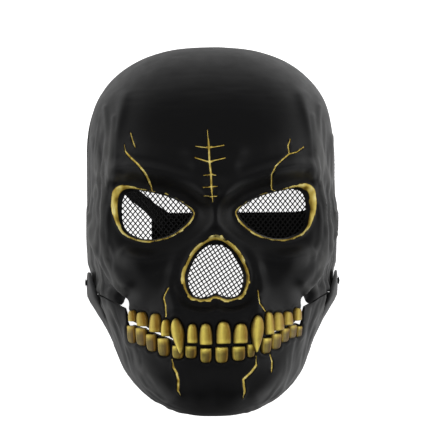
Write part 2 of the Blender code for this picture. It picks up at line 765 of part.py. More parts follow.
def hinge_bore(look):
    """A cutter for both ears' rivet holes."""
    return cylinder_x("hinge_bore", -CROWN_Y, CROWN_Y, BORE_RADIUS, ROUND_SIDES, look)


def upper_shell(look):
    corner_y = HINGE_Y - EAR_CORNER
    rim_end = degrees_at(float(half_width(corner_y)), corner_y)
    ear = wall_points([(corner_y, 6.0)] + ear_arc(EAR_RADIUS, 245, 125, 6))
    mouth = np.column_stack([MOUTH_X, bite_line(MOUTH_X) + BITE_GAP])
    right = np.concatenate([
        rim_points(90, rim_end),
        ear,
        surface_points(spaced(SEAM, SEAM_SPACING)),
        surface_points(CORNER_ABOVE),
        surface_points(mouth),
    ])
    loops = [both_halves(right)]
    for hole in (EYE_HOLE_LOOP, mirrored(EYE_HOLE_LOOP), NOSE_HOLE_LOOP):
        loops.append(surface_points(hole))
    for crest in (EYE_CREST_LOOP, mirrored(EYE_CREST_LOOP), NOSE_CREST_LOOP):
        loops.append(surface_points(crest))

    eye_rows = rows_beside(EYE_CREST_LOOP, ROW_DISTANCES, ROW_SPACING)
    eye_rows = eye_rows[(eye_rows[:, 0] > 3.0) & (signed_distance(*eye_rows.T, NOSE_CREST_LOOP) > 4.0)]
    rows = np.concatenate([eye_rows, eye_rows * (-1, 1)])

    def fine(points):
        return (np.abs(points[:, 0]) < 80) & (points[:, 1] < 62)

    made = shell("upper_shell", loops, 3, rows, face, ((FINE_SPACING, fine), (COARSE_SPACING, lambda p: ~fine(p))), look)
    boolean(made, "UNION", teeth("upper_tooth_forms", UPPER_TEETH, face, UPPER_TOOTH_PROUD, look))
    boolean(made, "DIFFERENCE", hinge_bore(look))
    return made


def ear_tab(side, look):
    """The flat ear of the jaw that lies outside the shell and takes the rivet."""
    rows = (
        # y, inner x, outer x, low z, high z
        (HINGE_Y + TAB_RADIUS, TAB_INNER_X, TAB_OUTER_X, -3.6, 3.6),
        (HINGE_Y + 6.6, TAB_INNER_X, TAB_OUTER_X, -6.6, 6.6),
        (HINGE_Y, TAB_INNER_X, TAB_OUTER_X, -9.0, 9.0),
        (HINGE_Y - 7.0, TAB_INNER_X, TAB_OUTER_X, -9.4, 10.5),
        (HINGE_Y - 13.6, TAB_INNER_X - 0.8, TAB_OUTER_X - 0.6, -10.5, 12.5),
        (HINGE_Y - 19.0, TAB_INNER_X - 4.4, TAB_OUTER_X - 4.0, -11.0, 13.5),
        (HINGE_Y - 24.0, TAB_INNER_X - 8.6, TAB_OUTER_X - 8.0, -10.0, 12.5),
    )
    rings = [
        [(side * x, y, HINGE_Z + z) for x, z in ((inner, low), (outer, low), (outer, high), (inner, high))]
        for y, inner, outer, low, high in rows
    ]
    return lofted(f"ear_tab_form_{'right' if side > 0 else 'left'}", rings, look)


def jaw(look):
    rear_y = HINGE_Y - JAW_REAR
    rim_start = degrees_at(float(half_width(rear_y)), rear_y)
    rear = wall_points([(rear_y - 0.3, 5.0), (rear_y + 0.2, 12.0), (rear_y + 0.6, 22.0),
                        (rear_y + 1.6, 31.0), (rear_y + 4.2, 39.0)])
    seam = [(x + SEAM_GAP / 2, y - SEAM_GAP) for x, y in SEAM]
    mouth = np.column_stack([MOUTH_X, bite_line(MOUTH_X) - BITE_GAP])
    top_right = np.concatenate([
        rear,
        surface_points(spaced(seam, SEAM_SPACING)),
        surface_points(CORNER_BELOW),
        surface_points(mouth),
    ])
    top_left = top_right[:-1][::-1] * (-1, 1, 1)
    loop = np.concatenate([rim_points(-180 - rim_start, rim_start), top_right, top_left])

    def fine(points):
        return (np.abs(points[:, 0]) < 66) & (points[:, 1] > -98)

    middle = np.array([(0.0, -100.0)])
    made = shell("jaw", [loop], 0, middle, jaw_face, ((JAW_FINE_SPACING, fine), (JAW_COARSE_SPACING, lambda p: ~fine(p))), look)
    boolean(made, "UNION", teeth("lower_tooth_forms", LOWER_TEETH, jaw_face, LOWER_TOOTH_PROUD, look))
    boolean(made, "UNION", ear_tab(1, look))
    boolean(made, "UNION", ear_tab(-1, look))
    boolean(made, "DIFFERENCE", hinge_bore(look))
    return made


def jaw_rivet(side, look):
    profile = (
        # distance along X, radius
        (87.6, RIVET_HEAD_RADIUS), (89.0, RIVET_HEAD_RADIUS), (89.0, RIVET_RADIUS),
        (TAB_OUTER_X + 0.3, RIVET_RADIUS), (TAB_OUTER_X + 0.3, RIVET_HEAD_RADIUS),
        (TAB_OUTER_X + 0.8, RIVET_HEAD_RADIUS * 0.9), (TAB_OUTER_X + 1.2, RIVET_HEAD_RADIUS * 0.55),
    )
    return lathe_x(f"jaw_rivet_{'right' if side > 0 else 'left'}", side, profile, ROUND_SIDES, look)


def head_strap(look):
    middle = np.array([row[:3] for row in STRAP_ROWS])
    rings = []
    for centre, direction, (_, _, _, turn, tip) in zip(middle, np.gradient(middle, axis=0), STRAP_ROWS):
        turn, tip = math.radians(turn), math.radians(tip)
        across = np.array([-math.sin(turn) * math.cos(tip), math.cos(turn) * math.cos(tip), math.sin(tip)])
        through = np.cross(across, direction)
        through *= STRAP_THICKNESS / 2 / np.linalg.norm(through)
        across *= STRAP_WIDTH / 2
        rings.append([centre - across - through, centre + across - through,
                      centre + across + through, centre - across + through])
    faces = [(0, 1, 2, 3)]
    for start in range(0, 4 * (len(rings) - 1), 4):
        a, b, c, d = range(start, start + 4)
        e, f, g, h = range(start + 4, start + 8)
        # both broad sides are split along the same diagonal, so that a twist can't make them cross
        faces += [(a, f, b), (a, e, f), (b, g, c), (b, f, g), (c, g, d), (d, g, h), (d, e, a), (d, h, e)]
    last = 4 * (len(rings) - 1)
    faces.append((last + 3, last + 2, last + 1, last))
    return add_object("head_strap", [p for ring in rings for p in ring], faces, look)


def strap_anchor(side, look):
    wall = float(wall_x(ANCHOR_Y, ANCHOR_Z + ANCHOR_HEIGHT / 2)) - WALL - 0.5
    rows = []
    for y in (ANCHOR_Y - ANCHOR_LENGTH / 2, ANCHOR_Y + ANCHOR_LENGTH / 2):
        rows.append([
            (side * x, y, z)
            for x, z in (
                (wall - ANCHOR_THICKNESS, ANCHOR_Z - ANCHOR_HEIGHT / 2),
                (wall, ANCHOR_Z - ANCHOR_HEIGHT / 2),
                (wall, ANCHOR_Z + ANCHOR_HEIGHT / 2),
                (wall - ANCHOR_THICKNESS, ANCHOR_Z + ANCHOR_HEIGHT / 2),
            )
        ])
    return lofted(f"strap_anchor_{'right' if side > 0 else 'left'}", rows, look)


for old in list(bpy.data.objects):
    bpy.data.objects.remove(old)

black_plastic = material("black_plastic", (0.012, 0.012, 0.013), 0.0, 0.42)
black_net = material("black_net", (0.008, 0.008, 0.008), 0.0, 0.55)
black_elastic = material("black_elastic", (0.010, 0.010, 0.010), 0.0, 0.9)
dark_steel = material("dark_steel", (0.05, 0.05, 0.05), 0.9, 0.4)

upper_shell(black_plastic)
jaw(black_plastic)
net("eye_net_right", EYE_HOLE_LOOP, eye_floor, EYE_DROP, EYE_NET_PITCH, black_net)
net("eye_net_left", mirrored(EYE_HOLE_LOOP), eye_floor, EYE_DROP, EYE_NET_PITCH, black_net)
net("nose_net", NOSE_HOLE_LOOP, nose_floor, NOSE_DROP, NOSE_NET_PITCH, black_net)
for side in (-1, 1):
    jaw_rivet(side, dark_steel)
    strap_anchor(side, black_plastic)
head_strap(black_elastic)
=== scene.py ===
"""A full-face skull mask in black moulded plastic, with gold paint on its teeth, rims and cracks.

The mask lies face up on a pale table. Its shape is written in millimetres over the face, as on the
sculptor's plan: x across, y up to the crown, z out of the face.
"""

import math

import bmesh
import bpy
import numpy as np
from mathutils import Matrix, kdtree, noise
from mathutils.geometry import delaunay_2d_cdt


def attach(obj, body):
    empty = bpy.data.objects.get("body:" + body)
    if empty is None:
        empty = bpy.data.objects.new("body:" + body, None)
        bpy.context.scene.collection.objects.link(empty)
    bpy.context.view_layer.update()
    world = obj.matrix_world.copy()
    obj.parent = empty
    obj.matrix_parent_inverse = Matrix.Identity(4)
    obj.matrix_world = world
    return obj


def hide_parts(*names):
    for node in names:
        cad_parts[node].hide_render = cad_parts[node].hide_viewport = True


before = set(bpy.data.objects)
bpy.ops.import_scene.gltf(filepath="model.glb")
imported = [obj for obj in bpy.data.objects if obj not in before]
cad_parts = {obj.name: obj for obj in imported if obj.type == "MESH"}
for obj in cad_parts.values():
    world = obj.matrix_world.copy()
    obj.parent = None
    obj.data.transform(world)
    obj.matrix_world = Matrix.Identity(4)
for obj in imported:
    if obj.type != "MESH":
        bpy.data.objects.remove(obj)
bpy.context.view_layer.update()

# Camera
# The mask is photographed from straight above with a long lens, from slightly left of its middle.
CAMERA_PLACE, CAMERA_YAW, CAMERA_ROLL = (-0.045, 0.0109, 1.6), -0.03, math.radians(-0.5)
LENS_MM, SENSOR_MM = 173.5, 36
camera_data = bpy.data.cameras.new("camera")
camera_data.lens, camera_data.sensor_width = LENS_MM, SENSOR_MM
camera = bpy.data.objects.new("camera", camera_data)
camera.matrix_world = (
    Matrix.Translation(CAMERA_PLACE)
    @ Matrix.Rotation(CAMERA_YAW, 4, "Y")
    @ Matrix.Rotation(CAMERA_ROLL, 4, "Z")
)
bpy.context.scene.collection.objects.link(camera)
bpy.context.scene.camera = camera
bpy.context.scene.view_settings.view_transform = "Standard"


# Table and studio light
# A light table of white acrylic, lit from below until it is as white as paper, also through the nets. The
# studio around it is dim overhead and bright low down at both sides, so the middle of the black face
# stays dark and its shoulders catch a broad, soft shine.
def linear(colour):
    """An sRGB hex colour as linear red, green, blue and alpha."""
    parts = [int(colour[i:i + 2], 16) / 255 for i in (1, 3, 5)]
    return (*[c / 12.92 if c <= 0.04045 else ((c + 0.055) / 1.055) ** 2.4 for c in parts], 1.0)


def connect(tree, made, inputs):
    """Sets a node's inputs to values, or links them from sockets."""
    for name, value in inputs.items():
        if isinstance(value, bpy.types.NodeSocket):
            tree.links.new(value, made.inputs[name])
        else:
            made.inputs[name].default_value = value


def node(tree, kind, settings=None, inputs=None):
    """Adds a node with its settings, and its inputs as values or as sockets to link from."""
    made = tree.nodes.new(kind)
    for name, value in (settings or {}).items():
        setattr(made, name, value)
    connect(tree, made, inputs or {})
    return made


def nudged(tree, share, noise, amount):
    """A share moved by a noise, half the amount up or down, and kept between 0 and 1."""
    lift = node(tree, "ShaderNodeMath", {"operation": "MULTIPLY_ADD"}, {0: noise, 1: amount, 2: -amount / 2})
    moved = node(tree, "ShaderNodeMath", {"operation": "ADD", "use_clamp": True},
                 {0: share, 1: lift.outputs[0]})
    return moved.outputs[0]


def material(name):
    """A new material, with its node tree and its shader."""
    made = bpy.data.materials.new(name)
    made.use_nodes = True
    return made, made.node_tree, made.node_tree.nodes["Principled BSDF"]


# White acrylic sheet with a light behind it: plain white without a shine, as bright as the paper.
TABLE_HALF, TABLE_TOP = 9, -0.0006
table_white, tree, shader = material("white_acrylic_light_table")
connect(tree, shader, {
    "Base Color": linear("#f4f4f4"), "Roughness": 0.8, "Specular IOR Level": 0.2,
    "Emission Color": linear("#ffffff"), "Emission Strength": 1.0,
})
mesh = bpy.data.meshes.new("table")
corners = [(x * TABLE_HALF, y * TABLE_HALF, TABLE_TOP) for x, y in ((-1, -1), (1, -1), (1, 1), (-1, 1))]
mesh.from_pydata(corners, [], [(0, 1, 2, 3)])
mesh.materials.append(table_white)
table = bpy.data.objects.new("table", mesh)
bpy.context.scene.collection.objects.link(table)
table.visible_glossy = False

SOFT_BOXES = (
    # azimuth from +X in degrees, height in degrees, distance, size, watts, whether it shows as a shine
    (4, 24, 2.0, 1.0, 2.0, True),
    (176, 24, 2.0, 1.0, 1.6, True),
    (90, 84, 2.3, 1.2, 28.0, False),
)
for i, (azimuth, height, distance, size, watts, shines) in enumerate(SOFT_BOXES):
    light = bpy.data.lights.new(f"soft_box_{i}", "AREA")
    light.shape, light.size, light.energy = "SQUARE", size, watts
    lamp = bpy.data.objects.new(light.name, light)
    around, rise = math.radians(azimuth), math.radians(height)
    flat, up = distance * math.cos(rise), distance * math.sin(rise)
    lamp.matrix_world = (
        Matrix.Translation((flat * math.cos(around), flat * math.sin(around), up))
        @ Matrix.Rotation(math.radians(azimuth + 90), 4, "Z")
        @ Matrix.Rotation(math.radians(90 - height), 4, "X")
    )
    lamp.visible_glossy = shines
    bpy.context.scene.collection.objects.link(lamp)

STUDIO_DIM = 0.045
STUDIO_WALLS = (
    # axis, sign, where the light starts and is full along it, how far it drops with height, brightness
    ("X", 1, 0.44, 1.00, 0.55, 0.94),
    ("X", -1, 0.48, 1.02, 0.55, 0.76),
    ("Y", 1, 0.62, 1.08, 0.55, 0.70),
    ("Z", 1, 0.10, 0.75, 0.00, 0.17),
)
world = bpy.data.worlds.new("studio")
world.use_nodes = True
tree = world.node_tree
direction = node(tree, "ShaderNodeTexCoord")
split = node(tree, "ShaderNodeSeparateXYZ", inputs={"Vector": direction.outputs["Generated"]})
total = STUDIO_DIM
for axis, sign, start, full, drop, brightness in STUDIO_WALLS:
    reach = node(tree, "ShaderNodeMath", {"operation": "MULTIPLY"},
                 {0: split.outputs[axis], 1: float(sign)})
    reach = node(tree, "ShaderNodeMath", {"operation": "MULTIPLY_ADD"},
                 {0: split.outputs["Z"], 1: -drop, 2: reach.outputs[0]})
    wall = node(tree, "ShaderNodeMapRange", {"interpolation_type": "SMOOTHSTEP"},
                {"Value": reach.outputs[0], "From Min": start, "From Max": full, "To Max": brightness})
    total = node(tree, "ShaderNodeMath", {"operation": "ADD"},
                 {0: wall.outputs["Result"], 1: total}).outputs[0]
tree.links.new(total, tree.nodes["Background"].inputs["Color"])
bpy.context.scene.world = world

# Upper shell
# The skull's front from the crown to the upper gums, moulded in one piece of black plastic about 2 mm
# thick, sculpted with brows, sockets, cheekbones and bark-like temples, and painted gold by hand on the
# rims of its openings and in its cracks.
WALL = 2.2
CROWN_Y, CHIN_Y, MIDDLE_Y = 144.0, -135.4, 4.3
SHARP = math.radians(50)
HINGE_Y, HINGE_Z = -35.5, 22.0
EAR_RADIUS, EAR_CORNER = 12.4, 5.5
SECTIONS = np.array([
    # y, half width, depth in the middle, height of the rim, squareness
    (CHIN_Y, 52.0, 97.0, 42.0, 2.30),
    (-125.0, 57.0, 101.0, 37.0, 2.30),
    (-114.0, 62.0, 105.0, 31.0, 2.30),
    (-103.0, 67.2, 109.0, 24.0, 2.20),
    (-91.0, 72.3, 113.0, 15.0, 2.15),
    (-79.0, 77.5, 115.0, 7.0, 2.10),
    (-67.4, 83.3, 115.0, 2.0, 2.10),
    (-55.5, 89.4, 114.0, 0.0, 2.10),
    (-46.0, 93.0, 112.0, 0.0, 2.20),
    (-29.0, 93.2, 110.0, 0.0, 2.35),
    (-20.0, 95.2, 109.0, 0.0, 2.40),
    (0.0, 96.0, 109.0, 0.0, 2.45),
    (30.0, 95.6, 110.0, 0.0, 2.55),
    (60.0, 95.5, 111.0, 0.0, 2.55),
    (CROWN_Y, 95.5, 112.0, 0.0, 2.40),
])
RIDGES = (
    # height, width, path (x, y) on the right half
    (6.0, 9.0, ((8, 30), (20, 37), (38, 43), (58, 47), (74, 46))),
    (3.4, 8.0, ((9, 32), (12, 46), (15, 60))),
    (-2.5, 7.0, ((20, 50), (44, 57), (70, 60))),
    (5.0, 9.0, ((0, 36), (0, 16), (0, 2))),
    (2.6, 5.0, ((66, 104), (73, 76), (76, 50), (77, 30))),
    (5.0, 6.0, ((88, 4), (83, -14), (74, -27), (66, -35))),
    (2.5, 5.0, ((30, -50), (33, -38), (30, -24))),
    (3.0, 7.0, ((60, -78), (48, -98), (30, -116))),
)
MOUNDS = (
    # x, y, half length in x, half length in y, height
    (58.0, -15.0, 17.0, 10.0, 7.0),
    (37.0, -23.0, 10.0, 13.0, -5.0),
    (66.0, -45.0, 8.0, 8.0, -9.0),
    (86.0, 48.0, 8.0, 26.0, -3.0),
    (0.0, -55.0, 44.0, 13.0, 4.0),
    (0.0, -97.0, 30.0, 6.0, -2.5),
    (14.0, -115.0, 13.0, 10.0, 4.5),
    (50.0, -50.0, 9.0, 8.0, -3.0),
)
EYE_HOLE = (
    (17, 17.8), (24, 24.4), (34, 28.8), (48, 32.6), (60, 33.3), (66.2, 28.5),
    (67.6, 16), (65, 5.5), (56, -0.8), (44, -2.2), (33, 1), (23, 8.2),
)
EYE_CREST = (
    (14, 16.3), (22, 24.6), (34, 30.9), (49, 34.4), (64, 37.2), (72, 34.4),
    (74.1, 26), (72.4, 12), (66, 0.8), (52, -4.4), (36, -2.6), (22, 4.8),
)
NOSE_HOLE_HALF = (
    (0, -6.4), (5.4, -7.1), (12.2, -12.6), (18, -23), (19.9, -31), (17.5, -41), (11.7, -44.3), (5, -43.3),
    (0, -41.2),
)
NOSE_CREST_HALF = (
    (0, 1), (7, -2), (15.8, -9.7), (21.6, -18.8), (24.9, -29), (22.8, -39.2), (18, -45.1), (8.3, -47.4),
    (0, -44.6),
)
EYE_DROP, NOSE_DROP = 4.5, 3.5
EYE_BLEND, NOSE_BLEND = 15.0, 9.0
NOSE_LIP, LIP_WIDTH = 1.6, 2.5
BITE = np.array([(0, -79.0), (18, -78.2), (27, -76.5), (36, -72.4), (44, -69.8), (53, -66.0), (62, -63.3)])
BITE_SLIT = np.array([
    # x, half the open slit between the rows of teeth
    (-62, 1.5), (-55, 1.35), (-45, 1.15), (-36, 1.15), (-31, 0.8), (-26, -0.3), (26, -0.3), (38, -0.1),
    (42.5, 0.7), (46, 0.9), (50, 0.4), (56, 0.5), (60, 1.3), (62, 1.5),
])
SEAM = ((86.7, -42.6), (83.8, -43.4), (76.2, -47.2), (69.7, -50.4))
CORNER_ABOVE = ((68.3, -49.0), (67.0, -46.2), (65.2, -44.1), (63.4, -47.1), (62.7, -53.0), (62.3, -59.6))
CRACK_ROWS = np.array([0, -0.5, 0.5, -1, 1, -1.5, 1.5, -2.3, 2.3])
UPPER_CRACKS = (
    # half width, path (x, y)
    (0.85, ((-5.2, 76.4), (-4.6, 70.0), (-4.2, 64.3), (-3.9, 54), (-2.9, 44.3), (-2.9, 34.6), (-2.1, 25.3))),
    (0.6, ((-13.6, 64.9), (-9.5, 64.2), (-4.2, 63.8), (1.0, 64.4), (6.0, 65.3))),
    (0.7, ((-14.0, 56.4), (-9.5, 55.0), (-4.0, 53.4), (1.0, 54.8), (6.6, 56.0))),
    (0.42, ((-8.2, 43.9), (-3.0, 44.2), (0.4, 44.0))),
    (0.42, ((-7.6, 35.2), (-2.9, 35.4), (1.0, 35.8))),
    (0.42, ((-7.4, 28.9), (-2.5, 28.4), (0.6, 28.6))),
    (0.85, ((-65.4, 66.6), (-64.6, 62.0), (-60.1, 56.9), (-55.3, 52.4), (-50.4, 45.7), (-47.5, 40.1),
            (-44.5, 31.7))),
    (0.55, ((-60.6, 74.8), (-59.4, 70.0), (-57.6, 65.2))),
    (0.8, ((65.4, 64.0), (60.5, 60.6), (54.7, 59.2), (49.0, 54.9), (43.9, 50.3), (41, 43.6), (41.7, 33))),
    (0.6, ((55.4, 69.6), (53.7, 65.0), (54.7, 59.2))),
    (0.8, ((-34.4, -37.2), (-36.8, -41.7), (-37.7, -44.6), (-36.6, -48.9), (-36.4, -52.5), (-36, -57.6))),
    (0.6, ((30.0, -39.6), (31.1, -46), (31.5, -48.6), (33.7, -51.5), (35.3, -54.6))),
)
SIDE_FOLDS = (
    # height, half width, path (x, y) on the right half
    (1.1, 2.0, ((77, 22), (79, 10), (78, -4), (73, -16))),
    (2.0, 2.0, ((92, 16), (91, -4), (84.4, -21), (75.4, -34.6), (65.5, -42.5))),
    (1.0, 2.0, ((92, 74), (88, 52), (83, 34), (82, 16), (83, 2), (78, -14))),
    (0.9, 1.9, ((80, 96), (79, 70), (83, 48), (90, 30))),
    (0.8, 1.9, ((74, 88), (77, 60), (78, 40))),
    (-1.8, 2.8, ((79, -37.5), (71, -42), (66.5, -50))),
)
TEMPLE_Y, TEMPLE_X = (24, 36, 50, 76, 104), (75.5, 73.5, 71.5, 70, 66)
CHEEK_Y, CHEEK_X = (-46, -34.6, -21, -8, 8), (63, 73.5, 81.5, 87, 95)
# Tooth outlines: the share of the way from gum to edge, and the share of the width there.
BLUNT = (
    (0, 0.10), (0.03, 0.42), (0.08, 0.62), (0.18, 0.80), (0.35, 0.93), (0.6, 1.0), (0.9, 1.0), (0.97, 0.95),
    (1, 0.84),
)
FANG = (
    (0, 0.08), (0.04, 0.40), (0.12, 0.68), (0.24, 0.92), (0.38, 1.0), (0.52, 0.95), (0.68, 0.76),
    (0.82, 0.50), (0.93, 0.26), (1, 0.08),
)
SQUARE = (
    (0, 0.30), (0.05, 0.66), (0.12, 0.84), (0.25, 0.95), (0.5, 1.0), (0.92, 1.0), (0.98, 0.97), (1, 0.90),
)
UPPER_TEETH = (
    # x at the gum and at the edge, width, gum y, edge y, outline
    (-60.3, -60.1, 4.9, -53.6, -62.2, BLUNT),
    (-53.6, -52.8, 7.6, -54.6, -65.4, BLUNT),
    (-43.4, -44.0, 7.9, -55.3, -69.4, BLUNT),
    (-36.2, -36.4, 5.8, -59.6, -72.1, BLUNT),
    (-29.3, -25.6, 9.0, -58.6, -84.4, FANG),
    (-17.3, -17.3, 7.2, -62.6, -76.8, BLUNT),
    (-7.9, -7.6, 9.0, -62.4, -78.0, BLUNT),
    (4.9, 4.9, 10.6, -61.0, -77.4, BLUNT),
    (17.5, 17.0, 10.4, -62.6, -77.3, BLUNT),
    (30.0, 28.6, 9.2, -56.8, -83.9, FANG),
    (37.9, 38.6, 6.2, -54.8, -71.6, BLUNT),
    (44.8, 45.2, 7.9, -55.2, -69.2, BLUNT),
    (52.3, 52.6, 6.8, -55.2, -65.5, BLUNT),
    (59.9, 59.9, 5.2, -53.0, -62.8, BLUNT),
)
FACE_SPACING, SIDE_SPACING, MOUTH_SPACING = 1.8, 1.9, 1.25
CRACK_SPACING, SEAM_SPACING, CORNER_SPACING = 0.8, 2.0, 1.6
ROW_GAP, LOOP_GAP, LATTICE_GAP = 0.42, 0.45, 0.6
EYE_STEPS, NOSE_STEPS, WALL_SMOOTHING = 10, 7, 6
MOUTH_HALF, MOUTH_POINTS = 60.5, 111
# The relief in millimetres.
BARK, FINE_BARK, TEMPLE_STEP, CHEEK_STEP, DIMPLE, CROWN_STREAKS = 1.35, 0.35, 1.5, 2.4, 1.6, 0.16
CRACK_DEPTH, CRACK_LIP, GUM_GROOVE, GUM_LIP = 0.75, 0.28, 0.9, 0.5


def smooth_curve(knots, values, x):
    """A smooth curve through a table of rising knots, which never overshoots its values."""
    step = np.diff(knots)
    slope = np.diff(values) / step
    tangent = np.zeros(len(knots))
    tangent[0], tangent[-1] = slope[0], slope[-1]
    for i in range(1, len(slope)):
        if slope[i - 1] * slope[i] > 0:
            first = 2 * step[i] + step[i - 1]
            second = step[i] + 2 * step[i - 1]
            tangent[i] = (first + second) / (first / slope[i - 1] + second / slope[i])
    x = np.clip(x, knots[0], knots[-1])
    i = np.clip(np.searchsorted(knots, x) - 1, 0, len(step) - 1)
    t = (x - knots[i]) / step[i]
    start = (1 + 2 * t) * (1 - t) ** 2 * values[i] + t * (1 - t) ** 2 * step[i] * tangent[i]
    end = t * t * (3 - 2 * t) * values[i + 1] + t * t * (t - 1) * step[i] * tangent[i + 1]
    return start + end


def rounded(share, power):
    """The height of a unit superellipse at a share of its half width."""
    return (1 - np.clip(np.abs(share), 0, 1) ** power) ** (1 / power)


def smooth_step(t):
    t = np.clip(t, 0, 1)
    return t * t * (3 - 2 * t)


def ramp(value, start, width):
    """A smooth step from 0 at the start to 1 one width further on."""
    return smooth_step((value - start) / width)


def bell(distance, width=1.0):
    return np.exp(-((distance / width) ** 2))


def section(column, y):
    return smooth_curve(SECTIONS[:, 0], SECTIONS[:, column], y)


def closing(value, y, crown_from, crown_power, chin_from):
    """A measure of the head that closes to nothing at the crown and the chin."""
    crown = rounded(np.maximum(y - crown_from, 0) / (CROWN_Y - crown_from), crown_power)
    chin = rounded(np.maximum(chin_from - y, 0) / (chin_from - CHIN_Y), 2.5)
    return value * crown * chin


def half_width(y):
    return closing(section(1, y), y, 60.0, 2.4, -91.0)


def rim_height(y):
    return section(3, y)


def middle_depth(y):
    """How far the head's middle line stands above the rim."""
    return closing(section(2, y) - rim_height(y), y, 40.0, 2.3, -100.0)


def head(x, y):
    """The head without relief."""
    share = np.abs(x) / np.maximum(half_width(y), 1e-6)
    return rim_height(y) + middle_depth(y) * rounded(share, section(4, y))


def wall_x(y, z):
    """How far from the middle the side wall stands at a height."""
    share = (z - rim_height(y)) / middle_depth(y)
    return half_width(y) * rounded(share, section(4, y))


def segment_distance(x, y, a, b):
    """Distance in plan from each point to the line between two points."""
    along = b - a
    t = np.clip(((x - a[0]) * along[0] + (y - a[1]) * along[1]) / (along @ along), 0, 1)
    return np.hypot(x - a[0] - t * along[0], y - a[1] - t * along[1])


def path_distance(x, y, path, closed=False):
    """Distance in plan from each point to a path."""
    path = np.asarray(path, float)
    nearest = np.full(np.shape(x), np.inf)
    for a, b in zip(path if closed else path[:-1], np.roll(path, -1, axis=0) if closed else path[1:]):
        nearest = np.minimum(nearest, segment_distance(x, y, a, b))
    return nearest


def inside(x, y, loop):
    """Whether each point lies inside a closed loop."""
    loop = np.asarray(loop, float)
    result = np.zeros(np.shape(x), bool)
    for a, b in zip(loop, np.roll(loop, -1, axis=0)):
        crosses = (a[1] > y) != (b[1] > y)
        rise = b[1] - a[1] if b[1] != a[1] else 1e-12
        result ^= crosses & (x < a[0] + (y - a[1]) * (b[0] - a[0]) / rise)
    return result


def signed_distance(x, y, loop):
    """Distance to a closed loop, negative inside."""
    distance = path_distance(x, y, loop, closed=True)
    return np.where(inside(x, y, loop), -distance, distance)


def closed_spline(points, steps):
    """A smooth closed loop through points."""
    points = np.asarray(points, float)
    before, after, beyond = (np.roll(points, k, axis=0) for k in (1, -1, -2))
    rows = []
    for i in range(len(points)):
        for t in np.arange(steps) / steps:
            rows.append(0.5 * (
                2 * points[i]
                + (after[i] - before[i]) * t
                + (2 * before[i] - 5 * points[i] + 4 * after[i] - beyond[i]) * t * t
                + (3 * points[i] - before[i] - 3 * after[i] + beyond[i]) * t ** 3
            ))
    return np.array(rows)


def mirrored(loop):
    return np.asarray(loop)[::-1] * (-1, 1)


EYE_HOLE_LOOP, EYE_CREST_LOOP = closed_spline(EYE_HOLE, EYE_STEPS), closed_spline(EYE_CREST, EYE_STEPS)
NOSE_HOLE_LOOP, NOSE_CREST_LOOP = (
    closed_spline(np.concatenate([half, mirrored(half[1:-1])]), NOSE_STEPS)
    for half in (NOSE_HOLE_HALF, NOSE_CREST_HALF)
)
OPENINGS = (
    # hole, crest, height of its bead, paint's reach outside and inside, raggedness, whether it is an eye
    (EYE_HOLE_LOOP, EYE_CREST_LOOP, 0.8, 0.3, 0.5, 0.25, 1.0),
    (mirrored(EYE_HOLE_LOOP), mirrored(EYE_CREST_LOOP), 0.8, 0.3, 0.5, 0.25, 1.0),
    (NOSE_HOLE_LOOP, NOSE_CREST_LOOP, 0.5, 0.5, 0.6, 1.1, 0.0),
)


def eye_floor(x, y):
    """The socket around an eye opening, bent only across the face."""
    out = np.abs(x) - 14.0
    return 99.0 - 0.10 * out - 0.0042 * out * out


def nose_floor(x, y):
    return 108.5 + 0.03 * (y + 24) - 0.0065 * x * x


def reach_in(x, y, hole, crest):
    """The share of the way from the crest of an opening's edge to its hole."""
    from_crest = signed_distance(x, y, crest)
    from_hole = signed_distance(x, y, hole)
    inward = np.clip(-from_crest, 0, None)
    return from_crest, inward / np.maximum(inward + np.clip(from_hole, 0, None), 1e-6)


def cut_in(z, x, y, hole, crest, floor, blend, drop, lip):
    """Lowers the face to an opening's floor, with a crest around it and a drop to the hole."""
    from_crest, reach = reach_in(x, y, hole, crest)
    share = smooth_step(1 - np.maximum(from_crest, 0) / blend)
    z = z + (floor(x, y) - z) * share
    z = z + lip * bell(from_crest, LIP_WIDTH)
    return z - drop * reach ** 1.3


def bite_line(x):
    return smooth_curve(BITE[:, 0], BITE[:, 1], np.abs(x))


def face(x, y):
    """The outer surface of the mask."""
    right = np.abs(x)
    z = head(x, y)
    fade = ramp(z, rim_height(y), 30.0)
    relief = np.zeros(np.shape(x))
    for height, width, path in RIDGES:
        relief = relief + height * bell(path_distance(right, y, path), width)
    for centre_x, centre_y, long_x, long_y, height in MOUNDS:
        relief = relief + height * np.exp(
            -(((right - centre_x) / long_x) ** 2) - ((y - centre_y) / long_y) ** 2)
    z = z + relief * fade
    z = cut_in(z, right, y, EYE_HOLE_LOOP, EYE_CREST_LOOP, eye_floor, EYE_BLEND, EYE_DROP, 0.0)
    return cut_in(z, x, y, NOSE_HOLE_LOOP, NOSE_CREST_LOOP, nose_floor, NOSE_BLEND, NOSE_DROP, NOSE_LIP)


def outline_radius(angle):
    """Distance from the middle to the outline, seen from the front."""
    farthest, halvings = 170.0, 40
    low, high = np.zeros(np.shape(angle)), np.full(np.shape(angle), farthest)
    for _ in range(halvings):
        middle = (low + high) / 2
        x, y = middle * np.cos(angle), middle * np.sin(angle)
        within = (y < CROWN_Y) & (y > CHIN_Y) & (np.abs(x) < half_width(y))
        low, high = np.where(within, middle, low), np.where(within, high, middle)
    return low


TABLE_ANGLES, TABLE_TURNS = 360, 160
ANGLES = np.linspace(-math.pi, math.pi, TABLE_ANGLES + 1)
TURNS = np.linspace(0, math.pi / 2, TABLE_TURNS)
RADIUS = outline_radius(ANGLES)
LENGTHS = np.zeros((len(ANGLES), len(TURNS)))
for i, angle in enumerate(ANGLES):
    radii = RADIUS[i] * np.sin(TURNS)
    heights = head(radii * math.cos(angle), radii * math.sin(angle))
    LENGTHS[i, 1:] = np.cumsum(np.hypot(np.diff(radii), np.diff(heights)))


